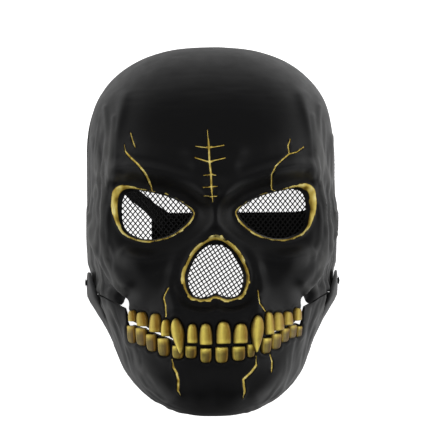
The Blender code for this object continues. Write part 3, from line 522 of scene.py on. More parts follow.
def on_table(angle):
    """The table row before each angle, the share of the next one, and the outline's radius there."""
    place = (angle + math.pi) / (2 * math.pi) * TABLE_ANGLES
    first = np.clip(np.floor(place).astype(int), 0, TABLE_ANGLES - 1)
    share = place - first
    return first, share, RADIUS[first] * (1 - share) + RADIUS[first + 1] * share


def unroll(points):
    """Flattens points of the face, so that distances on the steep sides stay true."""
    angle, radius = np.arctan2(points[:, 1], points[:, 0]), np.hypot(points[:, 0], points[:, 1])
    first, share, limit = on_table(angle)
    length = np.array([
        np.interp(t, TURNS, LENGTHS[a]) * (1 - s) + np.interp(t, TURNS, LENGTHS[a + 1]) * s
        for t, a, s in zip(np.arcsin(np.clip(radius / limit, 0, 1)), first, share)
    ])
    return np.stack([length * np.cos(angle), length * np.sin(angle)], axis=1)


def roll_back(points):
    """The face point for each flattened point."""
    angle, length = np.arctan2(points[:, 1], points[:, 0]), np.hypot(points[:, 0], points[:, 1])
    first, share, limit = on_table(angle)
    turn = np.array([
        np.interp(t, LENGTHS[a], TURNS) * (1 - s) + np.interp(t, LENGTHS[a + 1], TURNS) * s
        for t, a, s in zip(length, first, share)
    ])
    radius = limit * np.sin(turn)
    return np.stack([radius * np.cos(angle), radius * np.sin(angle)], axis=1)


def lattice(loop, spacing, wanted):
    """Evenly spaced flattened points in staggered rows inside a loop."""
    low, high = loop.min(axis=0), loop.max(axis=0)
    rows = []
    for j, v in enumerate(np.arange(low[1], high[1], spacing * math.sqrt(3) / 2)):
        us = np.arange(low[0] + (j % 2) * spacing / 2, high[0], spacing)
        rows.append(np.column_stack([us, np.full(len(us), v)]))
    points = np.concatenate(rows)
    points = points[inside(points[:, 0], points[:, 1], loop)]
    return points[wanted(roll_back(points))]


def spaced(points, spacing):
    """The same path with points about a spacing apart."""
    points = np.asarray(points, float)
    rows = [points[0]]
    for a, b in zip(points[:-1], points[1:]):
        count = max(1, round(float(np.linalg.norm(b - a)) / spacing))
        rows += [a + (b - a) * (i + 1) / count for i in range(count)]
    return np.array(rows)


def beside_path(path, offsets, spacing):
    """Rows of points along a path, at these distances to both sides."""
    path = spaced(path, spacing)
    along = np.gradient(path, axis=0)
    across = np.column_stack([-along[:, 1], along[:, 0]]) / np.linalg.norm(along, axis=1)[:, None]
    return np.concatenate([path + across * offset for offset in offsets])


def out_of(loop):
    """The direction out of a closed loop at each of its points."""
    along = np.roll(loop, -1, axis=0) - np.roll(loop, 1, axis=0)
    across = np.column_stack([along[:, 1], -along[:, 0]]) / np.linalg.norm(along, axis=1)[:, None]
    return across if np.sum((loop - loop.mean(axis=0)) * across) > 0 else -across


def beside_loop(loop, offsets):
    """Rows of points outside a closed loop."""
    across = out_of(loop)
    rows = []
    for offset in offsets:
        row = loop + across * offset
        rows.append(row[signed_distance(row[:, 0], row[:, 1], loop) > 0.95 * offset])
    return np.concatenate(rows)


def thinned(points, gap):
    """Leaves out each point that is nearer than a gap to one kept before it."""
    kept, cells = [], {}
    for point in points:
        cell = (math.floor(point[0] / gap), math.floor(point[1] / gap))
        around = ((cell[0] + i, cell[1] + j) for i in (-1, 0, 1) for j in (-1, 0, 1))
        near = [q for place in around for q in cells.get(place, ())]
        if all((point[0] - q[0]) ** 2 + (point[1] - q[1]) ** 2 > gap * gap for q in near):
            cells.setdefault(cell, []).append(point)
            kept.append(point)
    return np.array(kept)


def triangulate(loops, extra, hole_count):
    """Joins loops and extra points into triangles inside the first loop and outside the holes."""
    points = [tuple(p) for loop in loops for p in loop]
    edges = []
    start = 0
    for loop in loops:
        edges += [(start + i, start + (i + 1) % len(loop)) for i in range(len(loop))]
        start += len(loop)
    points += [tuple(p) for p in extra]
    verts, _, faces, origins, _, _ = delaunay_2d_cdt(points, edges, [], 0, 1e-7, True)
    if len(verts) != len(points):
        raise ValueError("an outline crosses itself or another")
    index = np.array([ids[0] for ids in origins])
    flat = np.array(points)
    triangles = index[np.array(faces)]
    centres = flat[triangles].mean(axis=1)
    keep = inside(centres[:, 0], centres[:, 1], loops[0])
    for hole in loops[1:1 + hole_count]:
        keep &= ~inside(centres[:, 0], centres[:, 1], hole)
    triangles = triangles[keep]
    a, b, c = (flat[triangles[:, k]] for k in range(3))
    turn = (b[:, 0] - a[:, 0]) * (c[:, 1] - a[:, 1]) - (b[:, 1] - a[:, 1]) * (c[:, 0] - a[:, 0])
    triangles[turn < 0] = triangles[turn < 0][:, [0, 2, 1]]
    return triangles


def wall_faces(triangles, count):
    """The faces of a closed wall: an outer side, an inner side and the edges between them."""
    edges = {(int(t[i]), int(t[(i + 1) % 3])) for t in triangles for i in range(3)}
    faces = [tuple(map(int, t)) for t in triangles]
    faces += [(a + count, c + count, b + count) for a, b, c in faces]
    for a, b in sorted(edges):
        if (b, a) not in edges:
            faces.append((b, a, a + count, b + count))
    return faces


def vertex_normals(points, triangles):
    a, b, c = (points[triangles[:, k]] for k in range(3))
    areas = np.cross(b - a, c - a)
    normals = np.zeros(points.shape)
    for k in range(3):
        np.add.at(normals, triangles[:, k], areas)
    return normals / np.maximum(np.linalg.norm(normals, axis=1), 1e-9)[:, None]


def smoothed(values, triangles, times):
    """Averages values at points with their neighbours'."""
    pairs = np.concatenate([triangles[:, [0, 1]], triangles[:, [1, 2]], triangles[:, [2, 0]]])
    pairs = np.concatenate([pairs, pairs[:, ::-1]])
    count = np.bincount(pairs[:, 0], minlength=len(values)).astype(float)
    for _ in range(times):
        total = np.zeros_like(values)
        np.add.at(total, pairs[:, 0], values[pairs[:, 1]])
        values = total / np.maximum(count, 1)[:, None]
    return values


def clump(points, stretch, seed):
    """Smooth noise from -1 to 1 at points, with a wavelength in millimetres along each axis."""
    scaled = points / np.asarray(stretch, float) + seed
    return np.array([noise.noise(p) for p in scaled.tolist()])


def surface_points(points):
    """Loop rows that take their height from the surface."""
    points = np.asarray(points, float)
    return np.column_stack([points, np.full(len(points), np.nan)])


def rim_points(from_degrees, to_degrees):
    """Points along the outline, from one direction to another."""
    usual_radius = 110
    count = max(2, round(math.radians(abs(to_degrees - from_degrees)) * usual_radius / SIDE_SPACING))
    angle = np.radians(np.linspace(from_degrees, to_degrees, count + 1))
    radius = outline_radius(angle)
    x, y = radius * np.cos(angle), radius * np.sin(angle)
    return np.column_stack([x, y, rim_height(y)])


def wall_points(rows):
    """Loop rows for places on the right side wall, given by y and z."""
    rows = spaced(rows, SIDE_SPACING)
    return surface_points(np.column_stack([wall_x(rows[:, 0], rows[:, 1]), rows[:, 0]]))


def degrees_at(x, y):
    return math.degrees(math.atan2(y, x))


def crack_depth(x, y, cracks):
    """For each point, the nearest crack's distance over its half width, which tapers to its ends."""
    share = np.full(len(x), np.inf)
    for half, path in cracks:
        path = spaced(path, 1.2)
        place = np.linspace(0, 1, len(path))
        for a, b, s in zip(path[:-1], path[1:], place):
            width = half * (0.18 + 0.82 * min(1.0, 3.4 * s, 3.4 * (1 - s)) ** 0.8)
            share = np.minimum(share, segment_distance(x, y, a, b) / width)
    return share


def tooth_outline(row):
    """The outline of a tooth, seen from the front."""
    gum_x, edge_x, width, gum_y, edge_y, form = row
    share, wide = np.array(form).T
    x = gum_x + (edge_x - gum_x) * share
    y = gum_y + (edge_y - gum_y) * share
    sides = [np.column_stack([x + sign * wide * width / 2, y]) for sign in (1, -1)]
    return np.concatenate([sides[0], sides[1][::-1]])


def nearby(points):
    """A tree that finds the nearest of some flat points."""
    tree = kdtree.KDTree(len(points))
    for i, point in enumerate(points):
        tree.insert((*point, 0), i)
    tree.balance()
    return tree


def skin(loops, hole_count, rows, spacings):
    """Plan places and triangles for a surface inside loops, denser along the rows."""
    flat_loops = [unroll(loop[:, :2]) for loop in loops]
    holes = flat_loops[1:1 + hole_count]
    flat_rows = thinned(unroll(rows), ROW_GAP)
    on_loops = nearby(np.concatenate(flat_loops))
    clear = np.array([on_loops.find((*p, 0))[2] > LOOP_GAP for p in flat_rows])
    clear &= inside(flat_rows[:, 0], flat_rows[:, 1], flat_loops[0])
    for hole in holes:
        clear &= ~inside(flat_rows[:, 0], flat_rows[:, 1], hole)
    extra = [flat_rows[clear]]
    near = nearby(np.concatenate([*flat_loops, flat_rows[clear]]))
    for spacing, wanted in spacings:
        points = lattice(flat_loops[0], spacing, wanted)
        for hole in holes:
            points = points[~inside(points[:, 0], points[:, 1], hole)]
        extra.append(np.array([p for p in points if near.find((*p, 0))[2] > LATTICE_GAP * spacing]))
    extra = np.concatenate(extra)
    triangles = triangulate(flat_loops, extra, hole_count)
    plan = np.concatenate([loop[:, :2] for loop in loops] + [roll_back(extra)])
    given = np.concatenate([loop[:, 2] for loop in loops] + [np.full(len(extra), np.nan)])
    return plan, given, triangles


def carved(plan, points, normals, cracks, teeth):
    """How far the fine relief stands out of the surface, the shares of gold, its tone and of rubbing with a
    painted highlight.
    """
    x, y = plan[:, 0], plan[:, 1]
    away = np.abs(x)
    # The bark: veins along the side walls, which fade out to the face, the crown, the rim and the chin.
    side = ramp(normals[:, 2], 0.80, -0.35) * ramp(y, 95, -40) * ramp(points[:, 2], 3, 10)
    side *= ramp(away / half_width(np.clip(y, -130, 130)), 0.62, 0.14)
    side *= 1 - 0.45 * ramp(y, -62, -30)
    veins = bell(4.2 * clump(points, (13, 46, 11), 3.7))
    fine_veins = bell(3.4 * clump(points, (8, 26, 7), 9.1))
    bark = veins + 0.55 * fine_veins
    standing = ramp(points[:, 2], 12, 28)
    out = side * (0.3 + 0.7 * standing) * (BARK * veins + FINE_BARK * fine_veins - 0.6)
    out += 0.24 * clump(points, (22, 22, 22), 1.3) + 0.05 * clump(points, (7, 7, 7), 5.9)
    for height, half, path in SIDE_FOLDS:
        fold = bell(path_distance(away, y, path), half)
        out += standing * height * fold
        bark = bark + 0.5 * fold * (height > 0)
    # The hollows beside the temple and below the cheekbone, a dimple, and fine streaks over the crown.
    temple = ramp(away, np.interp(y, TEMPLE_Y, TEMPLE_X), 5)
    out -= TEMPLE_STEP * temple * ramp(y, 20, 12) * ramp(y, 104, -26)
    cheek = ramp(away, np.interp(y, CHEEK_Y, CHEEK_X), 4.5)
    out -= CHEEK_STEP * cheek * standing * ramp(y, -41, 9) * ramp(y, 8, -10)
    out -= DIMPLE * np.exp(-(((away - 77.7) / 3.4) ** 2) - ((y + 18) / 8) ** 2)
    crown = ramp(y, 78, 14) * ramp(normals[:, 2], 0.5, 0.3)
    out += crown * CROWN_STREAKS * (1 - 2 * np.abs(clump(points, (34, 3.2, 40), 7.7)))
    # The cracks, with raised lips and gold in them, and the groove around each tooth.
    share = crack_depth(x, y, cracks)
    tone = np.clip(0.78 + 0.5 * clump(points, (3, 3, 3), 4.4) - 0.35 * share, 0, 1)
    out += -CRACK_DEPTH * bell(share, 0.8) + CRACK_LIP * bell(share - 1.7, 0.7)
    gold = ramp(share, 1.1, -0.5)
    nearest = np.full(len(x), np.inf)
    for row in teeth:
        near = (np.abs(x - row[0]) < 14) & (np.abs(y - (row[3] + row[4]) / 2) < 24)
        nearest[near] = np.minimum(nearest[near], signed_distance(x[near], y[near], tooth_outline(row)))
    out += -GUM_GROOVE * smooth_step(1 - nearest / 1.1) + GUM_LIP * bell(nearest - 2.1, 0.8)
    # The last share is paler grey on the tops of the bark veins and raised folds: rubbing with a painted
    # highlight.
    return out, gold, tone, side * np.clip(1.3 * bark - 0.7, 0, 1)


def piece(name, points, faces, *looks):
    """A named mesh object from points in millimetres on the plan, placed in the shared frame."""
    mesh = bpy.data.meshes.new(name)
    placed = (np.asarray(points, float) - (0, MIDDLE_Y, 0)) * 0.001
    mesh.from_pydata(placed.tolist(), [], [tuple(f) for f in faces])
    for look in looks:
        mesh.materials.append(look)
    mesh.polygons.foreach_set("use_smooth", [True] * len(mesh.polygons))
    made = bpy.data.objects.new(name, mesh)
    bpy.context.scene.collection.objects.link(made)
    return made


def facing_out(made):
    """Turns a closed piece's faces outwards."""
    work = bmesh.new()
    work.from_mesh(made.data)
    bmesh.ops.recalc_face_normals(work, faces=work.faces)
    work.to_mesh(made.data)
    work.free()


def ring_faces(rings, count, start=0):
    """The faces of a closed form whose points are rings of the same count, one after another."""
    rows = [range(start + r * count, start + (r + 1) * count) for r in range(rings)]
    faces = [tuple(reversed(rows[0])), tuple(rows[-1])]
    for low, high in zip(rows[:-1], rows[1:]):
        for i in range(count):
            j = (i + 1) % count
            faces.append((low[i], low[j], high[j], high[i]))
    return faces


def painted(made, **shares):
    """Stores paint shares on a piece's points."""
    for name, values in shares.items():
        layer = made.data.attributes.new(name, "FLOAT", "POINT")
        layer.data.foreach_set("value", np.asarray(values, np.float32))


# Satin black moulded plastic: nearly black, with a soft broad shine, a faint orange-peel and paler grey
# tops on the carved bark, where it is rubbed and carries a painted highlight.
black_plastic, tree, shader = material("satin_black_moulded_plastic")
place = node(tree, "ShaderNodeTexCoord").outputs["Object"]
gold_share = node(tree, "ShaderNodeAttribute", {"attribute_name": "gold"}).outputs["Fac"]
rub_share = node(tree, "ShaderNodeAttribute", {"attribute_name": "rub"}).outputs["Fac"]
mottle = node(tree, "ShaderNodeTexNoise",
              inputs={"Vector": place, "Scale": 90.0, "Detail": 4.0, "Roughness": 0.6})
peel = node(tree, "ShaderNodeTexNoise", inputs={"Vector": place, "Scale": 900.0, "Detail": 2.0})
streak_place = node(tree, "ShaderNodeMapping", inputs={"Vector": place, "Scale": (1.0, 0.22, 1.0)})
streaks = node(tree, "ShaderNodeTexNoise",
               inputs={"Vector": streak_place.outputs["Vector"], "Scale": 420.0, "Detail": 3.0})
# Paler grey on the bark tops: rubbing with a painted highlight.
black = node(tree, "ShaderNodeMix", {"data_type": "RGBA"},
             {"Factor": rub_share, 6: linear("#09090a"), 7: linear("#3c3c3b")})
cover = node(tree, "ShaderNodeMapRange", inputs={
    "Value": nudged(tree, gold_share, mottle.outputs["Fac"], 0.5), "From Min": 0.38, "From Max": 0.62,
})
tone_share = node(tree, "ShaderNodeAttribute", {"attribute_name": "tone"}).outputs["Fac"]
# The gold's tone, from dark brown to pale yellow; on the rims of the openings it carries a painted highlight
# and painted shade.
gold_tone = node(tree, "ShaderNodeValToRGB",
                 inputs={"Fac": nudged(tree, tone_share, streaks.outputs["Fac"], 0.6)})
stops = gold_tone.color_ramp.elements
stops[0].color, stops[1].color = linear("#4c390b"), linear("#fff0a0")
stops.new(0.35).color = linear("#a68a36")
stops.new(0.65).color = linear("#dcc460")
colour = node(tree, "ShaderNodeMix", {"data_type": "RGBA"},
              {"Factor": cover.outputs[0], 6: black.outputs[2], 7: gold_tone.outputs["Color"]})
metal = node(tree, "ShaderNodeMath", {"operation": "MULTIPLY"}, {0: cover.outputs[0], 1: 0.3})
rough = node(tree, "ShaderNodeMapRange", inputs={
    "Value": mottle.outputs["Fac"], "From Min": 0.3, "From Max": 0.7, "To Min": 0.40, "To Max": 0.50,
})
bump = node(tree, "ShaderNodeBump",
            inputs={"Height": peel.outputs["Fac"], "Distance": 0.00006, "Strength": 0.35})
connect(tree, shader, {
    "Base Color": colour.outputs[2], "Metallic": metal.outputs[0], "Roughness": rough.outputs[0],
    "Normal": bump.outputs["Normal"], "Specular IOR Level": 0.3,
})

corner_y = HINGE_Y - EAR_CORNER
rim_end = degrees_at(float(half_width(corner_y)), corner_y)
ear = [
    (HINGE_Y + EAR_RADIUS * math.cos(a), HINGE_Z + EAR_RADIUS * math.sin(a))
    for a in np.radians(np.linspace(245, 125, 14)).tolist()
]
mouth_x = np.linspace(MOUTH_HALF, -MOUTH_HALF, MOUTH_POINTS)


def bite_edge(side):
    """The edge of a row's gum along the bite: 1 for the upper, -1 for the lower."""
    slit = np.interp(mouth_x, BITE_SLIT[:, 0], BITE_SLIT[:, 1])
    return surface_points(np.column_stack([mouth_x, bite_line(mouth_x) + side * slit]))


right = np.concatenate([
    rim_points(90, rim_end),
    wall_points([(corner_y, 4.0), *ear]),
    surface_points(spaced(SEAM, SEAM_SPACING)),
    surface_points(spaced(CORNER_ABOVE, CORNER_SPACING)),
])
outline = np.concatenate([right, bite_edge(1), right[1:][::-1] * (-1, 1, 1)])[::-1]
loops = [outline] + [surface_points(row[k]) for k in (0, 1) for row in OPENINGS]
rows = []
for hole, crest, *_ in OPENINGS:
    rows += [crest + (hole - crest) * share for share in (0.2, 0.4, 0.6, 0.8)]
    rows.append(beside_loop(crest, (0.7, 1.5, 2.5, 3.8)))
rows += [beside_path(path, half * CRACK_ROWS, CRACK_SPACING) for half, path in UPPER_CRACKS]


def near_mouth(points):
    return (np.abs(points[:, 0]) < 66) & (points[:, 1] < -50)


def on_face(points):
    return (np.abs(points[:, 0]) < 80) & (points[:, 1] < 62) & ~near_mouth(points)


def sculpted(plan, given, triangles, surface, cracks, teeth):
    """The smooth points of a surface, their normals and what `carved` says; rim points aren't carved."""
    heights = surface(plan[:, 0], plan[:, 1])
    on_rim = ~np.isnan(given)
    heights[on_rim] = given[on_rim]
    smooth = np.column_stack([plan, heights])
    normals = vertex_normals(smooth, triangles)
    normals[on_rim, 2] = 0
    normals /= np.linalg.norm(normals, axis=1)[:, None]
    out, gold, tone, rub = carved(plan, smooth, normals, cracks, teeth)
    out[on_rim] = 0
    return smooth, normals, on_rim, out, gold, tone, rub


def moulded(name, triangles, smooth, normals, on_rim, out, gold, tone, rub):
    """A piece with the relief outside, a smooth wall of even thickness behind it, and its paint."""
    inward = smoothed(normals, triangles, WALL_SMOOTHING)
    inward[on_rim] = normals[on_rim]
    inward /= np.linalg.norm(inward, axis=1)[:, None]
    points = np.concatenate([smooth + normals * out[:, None], smooth - WALL * inward])
    made = piece(name, points, wall_faces(triangles, len(smooth)), black_plastic)
    bare = np.zeros(len(smooth))
    painted(made, gold=np.append(gold, bare), tone=np.append(tone, bare), rub=np.append(rub, bare))
    made.data.set_sharp_from_angle(angle=SHARP)
    return made


plan, given, triangles = skin(loops, len(OPENINGS), np.concatenate(rows), (
    (MOUTH_SPACING, near_mouth),
    (FACE_SPACING, on_face),
    (SIDE_SPACING, lambda p: ~near_mouth(p) & ~on_face(p)),
))
smooth, normals, on_rim, out, gold, tone, rub = sculpted(
    plan, given, triangles, face, UPPER_CRACKS, UPPER_TEETH)
corner = ramp(np.abs(plan[:, 0]), 60, 8) * ramp(plan[:, 1], 2, 20)
folds = np.abs(clump(smooth, (2.2, 2.2, 30), 6.4)) * 1.6
for hole, crest, lip, outside, inside_share, rough, on_eye in OPENINGS:
    from_crest, reach = reach_in(plan[:, 0], plan[:, 1], hole, crest)
    ragged = rough * clump(smooth, (4, 4, 8), 2.2)
    inner_share = inside_share + on_eye * 0.10 * corner + 0.12 * clump(smooth, (6, 6, 6), 8.8)
    band = smooth_step((outside + ragged + 0.9 * on_eye * corner - from_crest) / 0.7)
    on_band = band * smooth_step((inner_share - reach) / 0.16)
    faded = (1 - on_eye) * ramp(plan[:, 1], -8, 6) * smooth_step(from_crest + 2.6)
    on_band = on_band * (1 - faded * (0.42 - 0.35 * clump(smooth, (2, 2, 4), 3.1)))
    gold = np.maximum(gold, on_band)
    # On the rims the tone is a painted highlight along the crest, falling to painted shade down into the
    # opening and darker beyond the crest.
    crest_highlight_inner_shade = 0.78 - 0.9 * np.clip(reach, 0, 1) - 0.25 * np.clip(from_crest, 0, 2)
    tone = np.where(on_band > 0.3, crest_highlight_inner_shade + 0.55 * clump(smooth, (5, 5, 9), 7.1), tone)
    bead = bell(from_crest + 0.5, 1.0 + 1.2 * on_eye * corner)
    out += lip * bead * (1 + on_eye * corner * (0.9 - folds)) - 0.5 * (1 - on_eye) * bead * np.abs(ragged)
upper_skin = moulded("upper_skin", triangles, smooth, normals, on_rim, out, gold, tone, rub)
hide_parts("upper_shell")
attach(upper_skin, "shell")

# Upper teeth
# Fourteen teeth with two long fangs, moulded proud of the gum and painted in antique gold, with a dark
# wash and painted shade in the corners and along the gums, and a painted highlight down each tooth.
# Antique gold paint brushed over black: warm and half metallic, with fine brush streaks from the gum to the
# edge, a painted highlight down each tooth and a brown wash with painted shade in its corners.
gold_paint, tree, shader = material("antique_gold_paint")
place = node(tree, "ShaderNodeTexCoord").outputs["Object"]
wash_share = node(tree, "ShaderNodeAttribute", {"attribute_name": "wash"}).outputs["Fac"]
streak_place = node(tree, "ShaderNodeMapping", inputs={"Vector": place, "Scale": (1.0, 0.12, 1.0)})
streaks = node(tree, "ShaderNodeTexNoise", inputs={
    "Vector": streak_place.outputs["Vector"], "Scale": 900.0, "Detail": 4.0, "Roughness": 0.65,
})
blotch = node(tree, "ShaderNodeTexNoise", inputs={"Vector": place, "Scale": 160.0, "Detail": 3.0})
shine_share = node(tree, "ShaderNodeAttribute", {"attribute_name": "shine"}).outputs["Fac"]
# A painted highlight down each tooth, broken by the brush streaks.
lit = nudged(tree, shine_share, streaks.outputs["Fac"], 0.5)
tone = node(tree, "ShaderNodeMix", {"data_type": "RGBA"},
            {"Factor": lit, 6: linear("#8c6714"), 7: linear("#ffea70")})
# The dark wash with painted shade, broken by blotches.
wash = nudged(tree, wash_share, blotch.outputs["Fac"], 0.7)
colour = node(tree, "ShaderNodeMix", {"data_type": "RGBA"},
              {"Factor": wash, 6: tone.outputs[2], 7: linear("#2e2107")})
metal = node(tree, "ShaderNodeMapRange", inputs={"Value": wash, "To Min": 0.3, "To Max": 0.0})
bump = node(tree, "ShaderNodeBump",
            inputs={"Height": streaks.outputs["Fac"], "Distance": 0.00012, "Strength": 0.4})
connect(tree, shader, {
    "Base Color": colour.outputs[2], "Metallic": metal.outputs["Result"], "Normal": bump.outputs["Normal"],
    "Roughness": 0.38,
})

# The points of a tooth: shares of its half width, and of the way from the gum to the edge.
ACROSS = np.array([-1, -0.94, -0.8, -0.55, -0.28, 0, 0.28, 0.55, 0.8, 0.94, 1])
DOWN = np.array([0, 0.03, 0.08, 0.16, 0.28, 0.42, 0.58, 0.74, 0.86, 0.94, 0.98, 1])
ROOT_DEPTH, TOOTH_SPREAD = 1.8, 0.7


def tooth_form(points, faces, washes, shines, row, surface, proud, flatness, centre_wash):
    """Adds one tooth as a closed form, whose front is crowned and whose root is inside the wall."""
    gum_x, edge_x, width, gum_y, edge_y, form = row
    x_middle, y_middle = (gum_x + edge_x) / 2, (gum_y + edge_y) / 2
    beside_it = surface(x_middle + np.array([-2.0, 2.0]), np.full(2, y_middle))
    ends = surface(np.full(2, x_middle), np.array([gum_y, edge_y]))
    lean = (ends[0] - ends[1]) / (gum_y - edge_y)
    along = np.array([4.0, 0.0, beside_it[1] - beside_it[0]])
    along /= np.linalg.norm(along)
    out = np.array([-along[2], 0.0, along[0]])
    start, count = len(points), len(ACROSS) + 2
    back = ramp(abs(x_middle), 30, 18)
    for v in DOWN:
        y = gum_y + (edge_y - gum_y) * v
        half = np.interp(v, *np.array(form).T) * width / 2 / along[0]
        foot = np.array([gum_x + (edge_x - gum_x) * v, y, ends.mean() + lean * (y - y_middle)])
        rise = rounded(max(0.0, 1 - v / 0.22), 2.0)
        if form is FANG:
            rise *= 1.25 - 0.5 * v
        else:
            rise *= rounded(max(0.0, (v - 0.90) / 0.10), 2.4)
        for u in ACROSS:
            crown = rounded(u, flatness)
            points.append(foot + along * u * half + out * (-0.5 + (proud + 0.5) * crown * rise))
            # Darker at the tooth's sides, by its gum, in its middle and at its biting edge: dark wash and
            # painted shade.
            near_side = ramp(abs(u), 0.72, 0.26)
            near_gum = ramp(v, 0.12, -0.12)
            middle = centre_wash * ramp(abs(u), 0.80, -0.25) * ramp(v, 0.80, -0.12)
            washes.append(max(near_side * 0.85, near_gum * 0.9, middle, 0.8 * ramp(v, 0.96, 0.04)))
            # A painted highlight down the left of each tooth, with painted shade on its right and on the
            # teeth further back.
            lit = math.exp(-(((u + 0.36) / 0.36) ** 2)) + 0.4 * ramp(v, 0.72, 0.2) * ramp(u, -1, 0.6)
            shines.append((0.22 + 0.75 * lit) * (1 - 0.5 * back) - 0.15 * ramp(u, 0.2, 0.4))
        for u in (0.8, -0.8):
            points.append(foot + along * u * half - out * ROOT_DEPTH)
            washes.append(1.0)
            shines.append(0.0)
    faces += ring_faces(len(DOWN), count, start)


def row_of_teeth(name, table, surface, proud, flatness, centre_wash):
    """A row of teeth as one piece, painted, with soft edges."""
    points, faces, washes, shines = [], [], [], []
    for gum_x, edge_x, width, *rest in table:
        row = (gum_x, edge_x, width + TOOTH_SPREAD, *rest)
        tooth_form(points, faces, washes, shines, row, surface, proud, flatness, centre_wash)
    made = piece(name, points, faces, gold_paint)
    painted(made, wash=washes, shine=shines)
    facing_out(made)
    step = made.modifiers.new("Rounded", "SUBSURF")
    step.levels = step.render_levels = 1
    return made


upper_teeth = row_of_teeth("upper_teeth", UPPER_TEETH, face, 2.8, 2.6, 0.0)
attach(upper_teeth, "shell")

# Jaw
# The lower jaw is a second moulding of the same plastic, with a wall of the same thickness. It carries the
# lower gums, stands a little behind the upper teeth, and is parted from the cheeks by a narrow seam.
JAW_SET_BACK, JAW_REAR, SEAM_GAP = 4.5, 15.0, 0.9
CORNER_BELOW = ((66.8, -52.6), (65.6, -56.5), (65.2, -63.0), (63.8, -66.6))
JAW_CRACKS = (
    (0.95, ((-31.9, -89.4), (-31, -94.8), (-28.9, -98.5), (-27.6, -103.7), (-27.9, -111.7), (-26.2, -115.3))),
    (0.95, ((28.9, -87.5), (28.9, -93.8), (25, -98.6), (19.2, -103.6), (19.7, -108.7), (20.3, -112.3),
            (19.3, -117.8))),
    (0.7, ((39.2, -87), (40.8, -91.5), (40.3, -98.6))),
)
LOWER_TEETH = (
    # x at the gum and at the edge, width, gum y, edge y, outline
    (-60.6, -61.2, 5.6, -78.8, -65.2, SQUARE),
    (-53.4, -54.2, 7.3, -80.0, -66.5, SQUARE),
    (-46.0, -47.0, 6.7, -84.0, -70.8, SQUARE),
    (-37.4, -38.2, 7.7, -87.0, -73.4, SQUARE),
    (-27.6, -27.6, 7.8, -88.4, -78.7, SQUARE),
    (-18.3, -18.3, 8.0, -88.0, -78.8, SQUARE),
    (-7.7, -7.7, 8.0, -91.2, -80.5, SQUARE),
    (3.6, 3.6, 9.2, -91.4, -79.6, SQUARE),
    (15.8, 15.8, 9.4, -90.1, -79.4, SQUARE),
    (24.6, 24.6, 5.0, -88.0, -78.2, SQUARE),
    (35.8, 36.6, 6.6, -85.8, -74.0, SQUARE),
    (43.0, 43.8, 7.2, -83.1, -71.2, SQUARE),
    (49.8, 50.6, 6.0, -78.4, -67.7, SQUARE),
    (55.7, 56.4, 5.4, -75.8, -65.7, SQUARE),
    (61.0, 61.5, 3.8, -75.2, -67.0, SQUARE),
)


def jaw_face(x, y):
    """The outer surface of the jaw, whose row of teeth stands behind the upper one."""
    row = ramp(y, -101.0, 16.0) * ramp(np.abs(x), 67.5, -9.0)
    return face(x, y) - JAW_SET_BACK * row


rear_y = HINGE_Y - JAW_REAR
rim_start = degrees_at(float(half_width(rear_y)), rear_y)
top_right = np.concatenate([
    wall_points([(rear_y + lean, z) for lean, z in ((-0.3, 5), (0.2, 12), (0.6, 22), (1.6, 31), (4.2, 39))]),
    surface_points(spaced([(x + SEAM_GAP / 2, y - SEAM_GAP) for x, y in SEAM], SEAM_SPACING)),
    surface_points(spaced(CORNER_BELOW, CORNER_SPACING)),
])
loops = [np.concatenate([
    rim_points(-180 - rim_start, rim_start), top_right, bite_edge(-1), top_right[::-1] * (-1, 1, 1),
])]
rows = np.concatenate([beside_path(path, half * CRACK_ROWS, CRACK_SPACING) for half, path in JAW_CRACKS])


def near_lower_teeth(points):
    return (np.abs(points[:, 0]) < 66) & (points[:, 1] > -94)


plan, given, triangles = skin(
    loops, 0, rows, ((MOUTH_SPACING, near_lower_teeth), (FACE_SPACING, lambda p: ~near_lower_teeth(p))))
jaw_parts = sculpted(plan, given, triangles, jaw_face, JAW_CRACKS, LOWER_TEETH)
jaw_skin = moulded("jaw_skin", triangles, *jaw_parts)
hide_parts("jaw")
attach(jaw_skin, "jaw")

# Ear tabs
# Each side of the jaw ends in a broad flat leaf of the same plastic. It lies outside the shell's wall and
# sinks into the jaw's, and the rivet goes through its upper end.
TAB_LEAST, TAB_LIMIT_X = 0.3, 95.9
TAB_LEVELS = np.array([0, 0.04, 0.14, 0.32, 0.5, 0.68, 0.86, 0.96, 1])
TAB_STATIONS = (
    # distance from the hinge along Y, low and high edge from it, gap to the wall, thickness
    (8.0, -1.0, 4.0, 1.0, 1.2),
    (7.5, -3.4, 7.6, 1.0, 1.7),
    (6.2, -5.8, 11.0, 1.0, 2.0),
    (3.6, -8.0, 15.4, 1.1, 2.2),
    (0.0, -9.2, 20.0, 1.2, 2.4),
    (-4.0, -9.6, 25.0, 1.2, 2.4),
    (-7.5, -9.8, 28.6, 1.2, 2.4),
    (-10.5, -10.0, 30.0, 1.1, 2.3),
    (-15.2, -10.4, 29.0, 0.6, 2.0),
    (-19.0, -10.8, 27.0, -1.2, 3.2),
    (-24.0, -11.0, 24.0, -1.4, 2.7),
    (-30.0, -10.0, 19.0, -1.5, 2.1),
    (-35.0, -7.0, 13.0, -1.5, 1.55),
)
for side, name in ((-1, "left"), (1, "right")):
    points = []
    for away, low, high, gap, thick in TAB_STATIONS:
        z = HINGE_Z + low + (high - low) * TAB_LEVELS
        inner = wall_x(np.full(len(z), HINGE_Y + away), z) + gap
        outer = inner + thick * (0.35 + 0.65 * rounded(2 * TAB_LEVELS - 1, 4.0))
        outer = np.maximum(np.minimum(outer, TAB_LIMIT_X), inner + TAB_LEAST)
        ring = [*zip(inner, z), *zip(outer[::-1], z[::-1])]
        points += [(side * x, HINGE_Y + away, height) for x, height in ring]
    tab = piece(f"ear_tab_{name}", points, ring_faces(len(TAB_STATIONS), 2 * len(TAB_LEVELS)), black_plastic)
    facing_out(tab)
    tab.data.set_sharp_from_angle(angle=math.radians(60))
    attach(tab, "jaw")

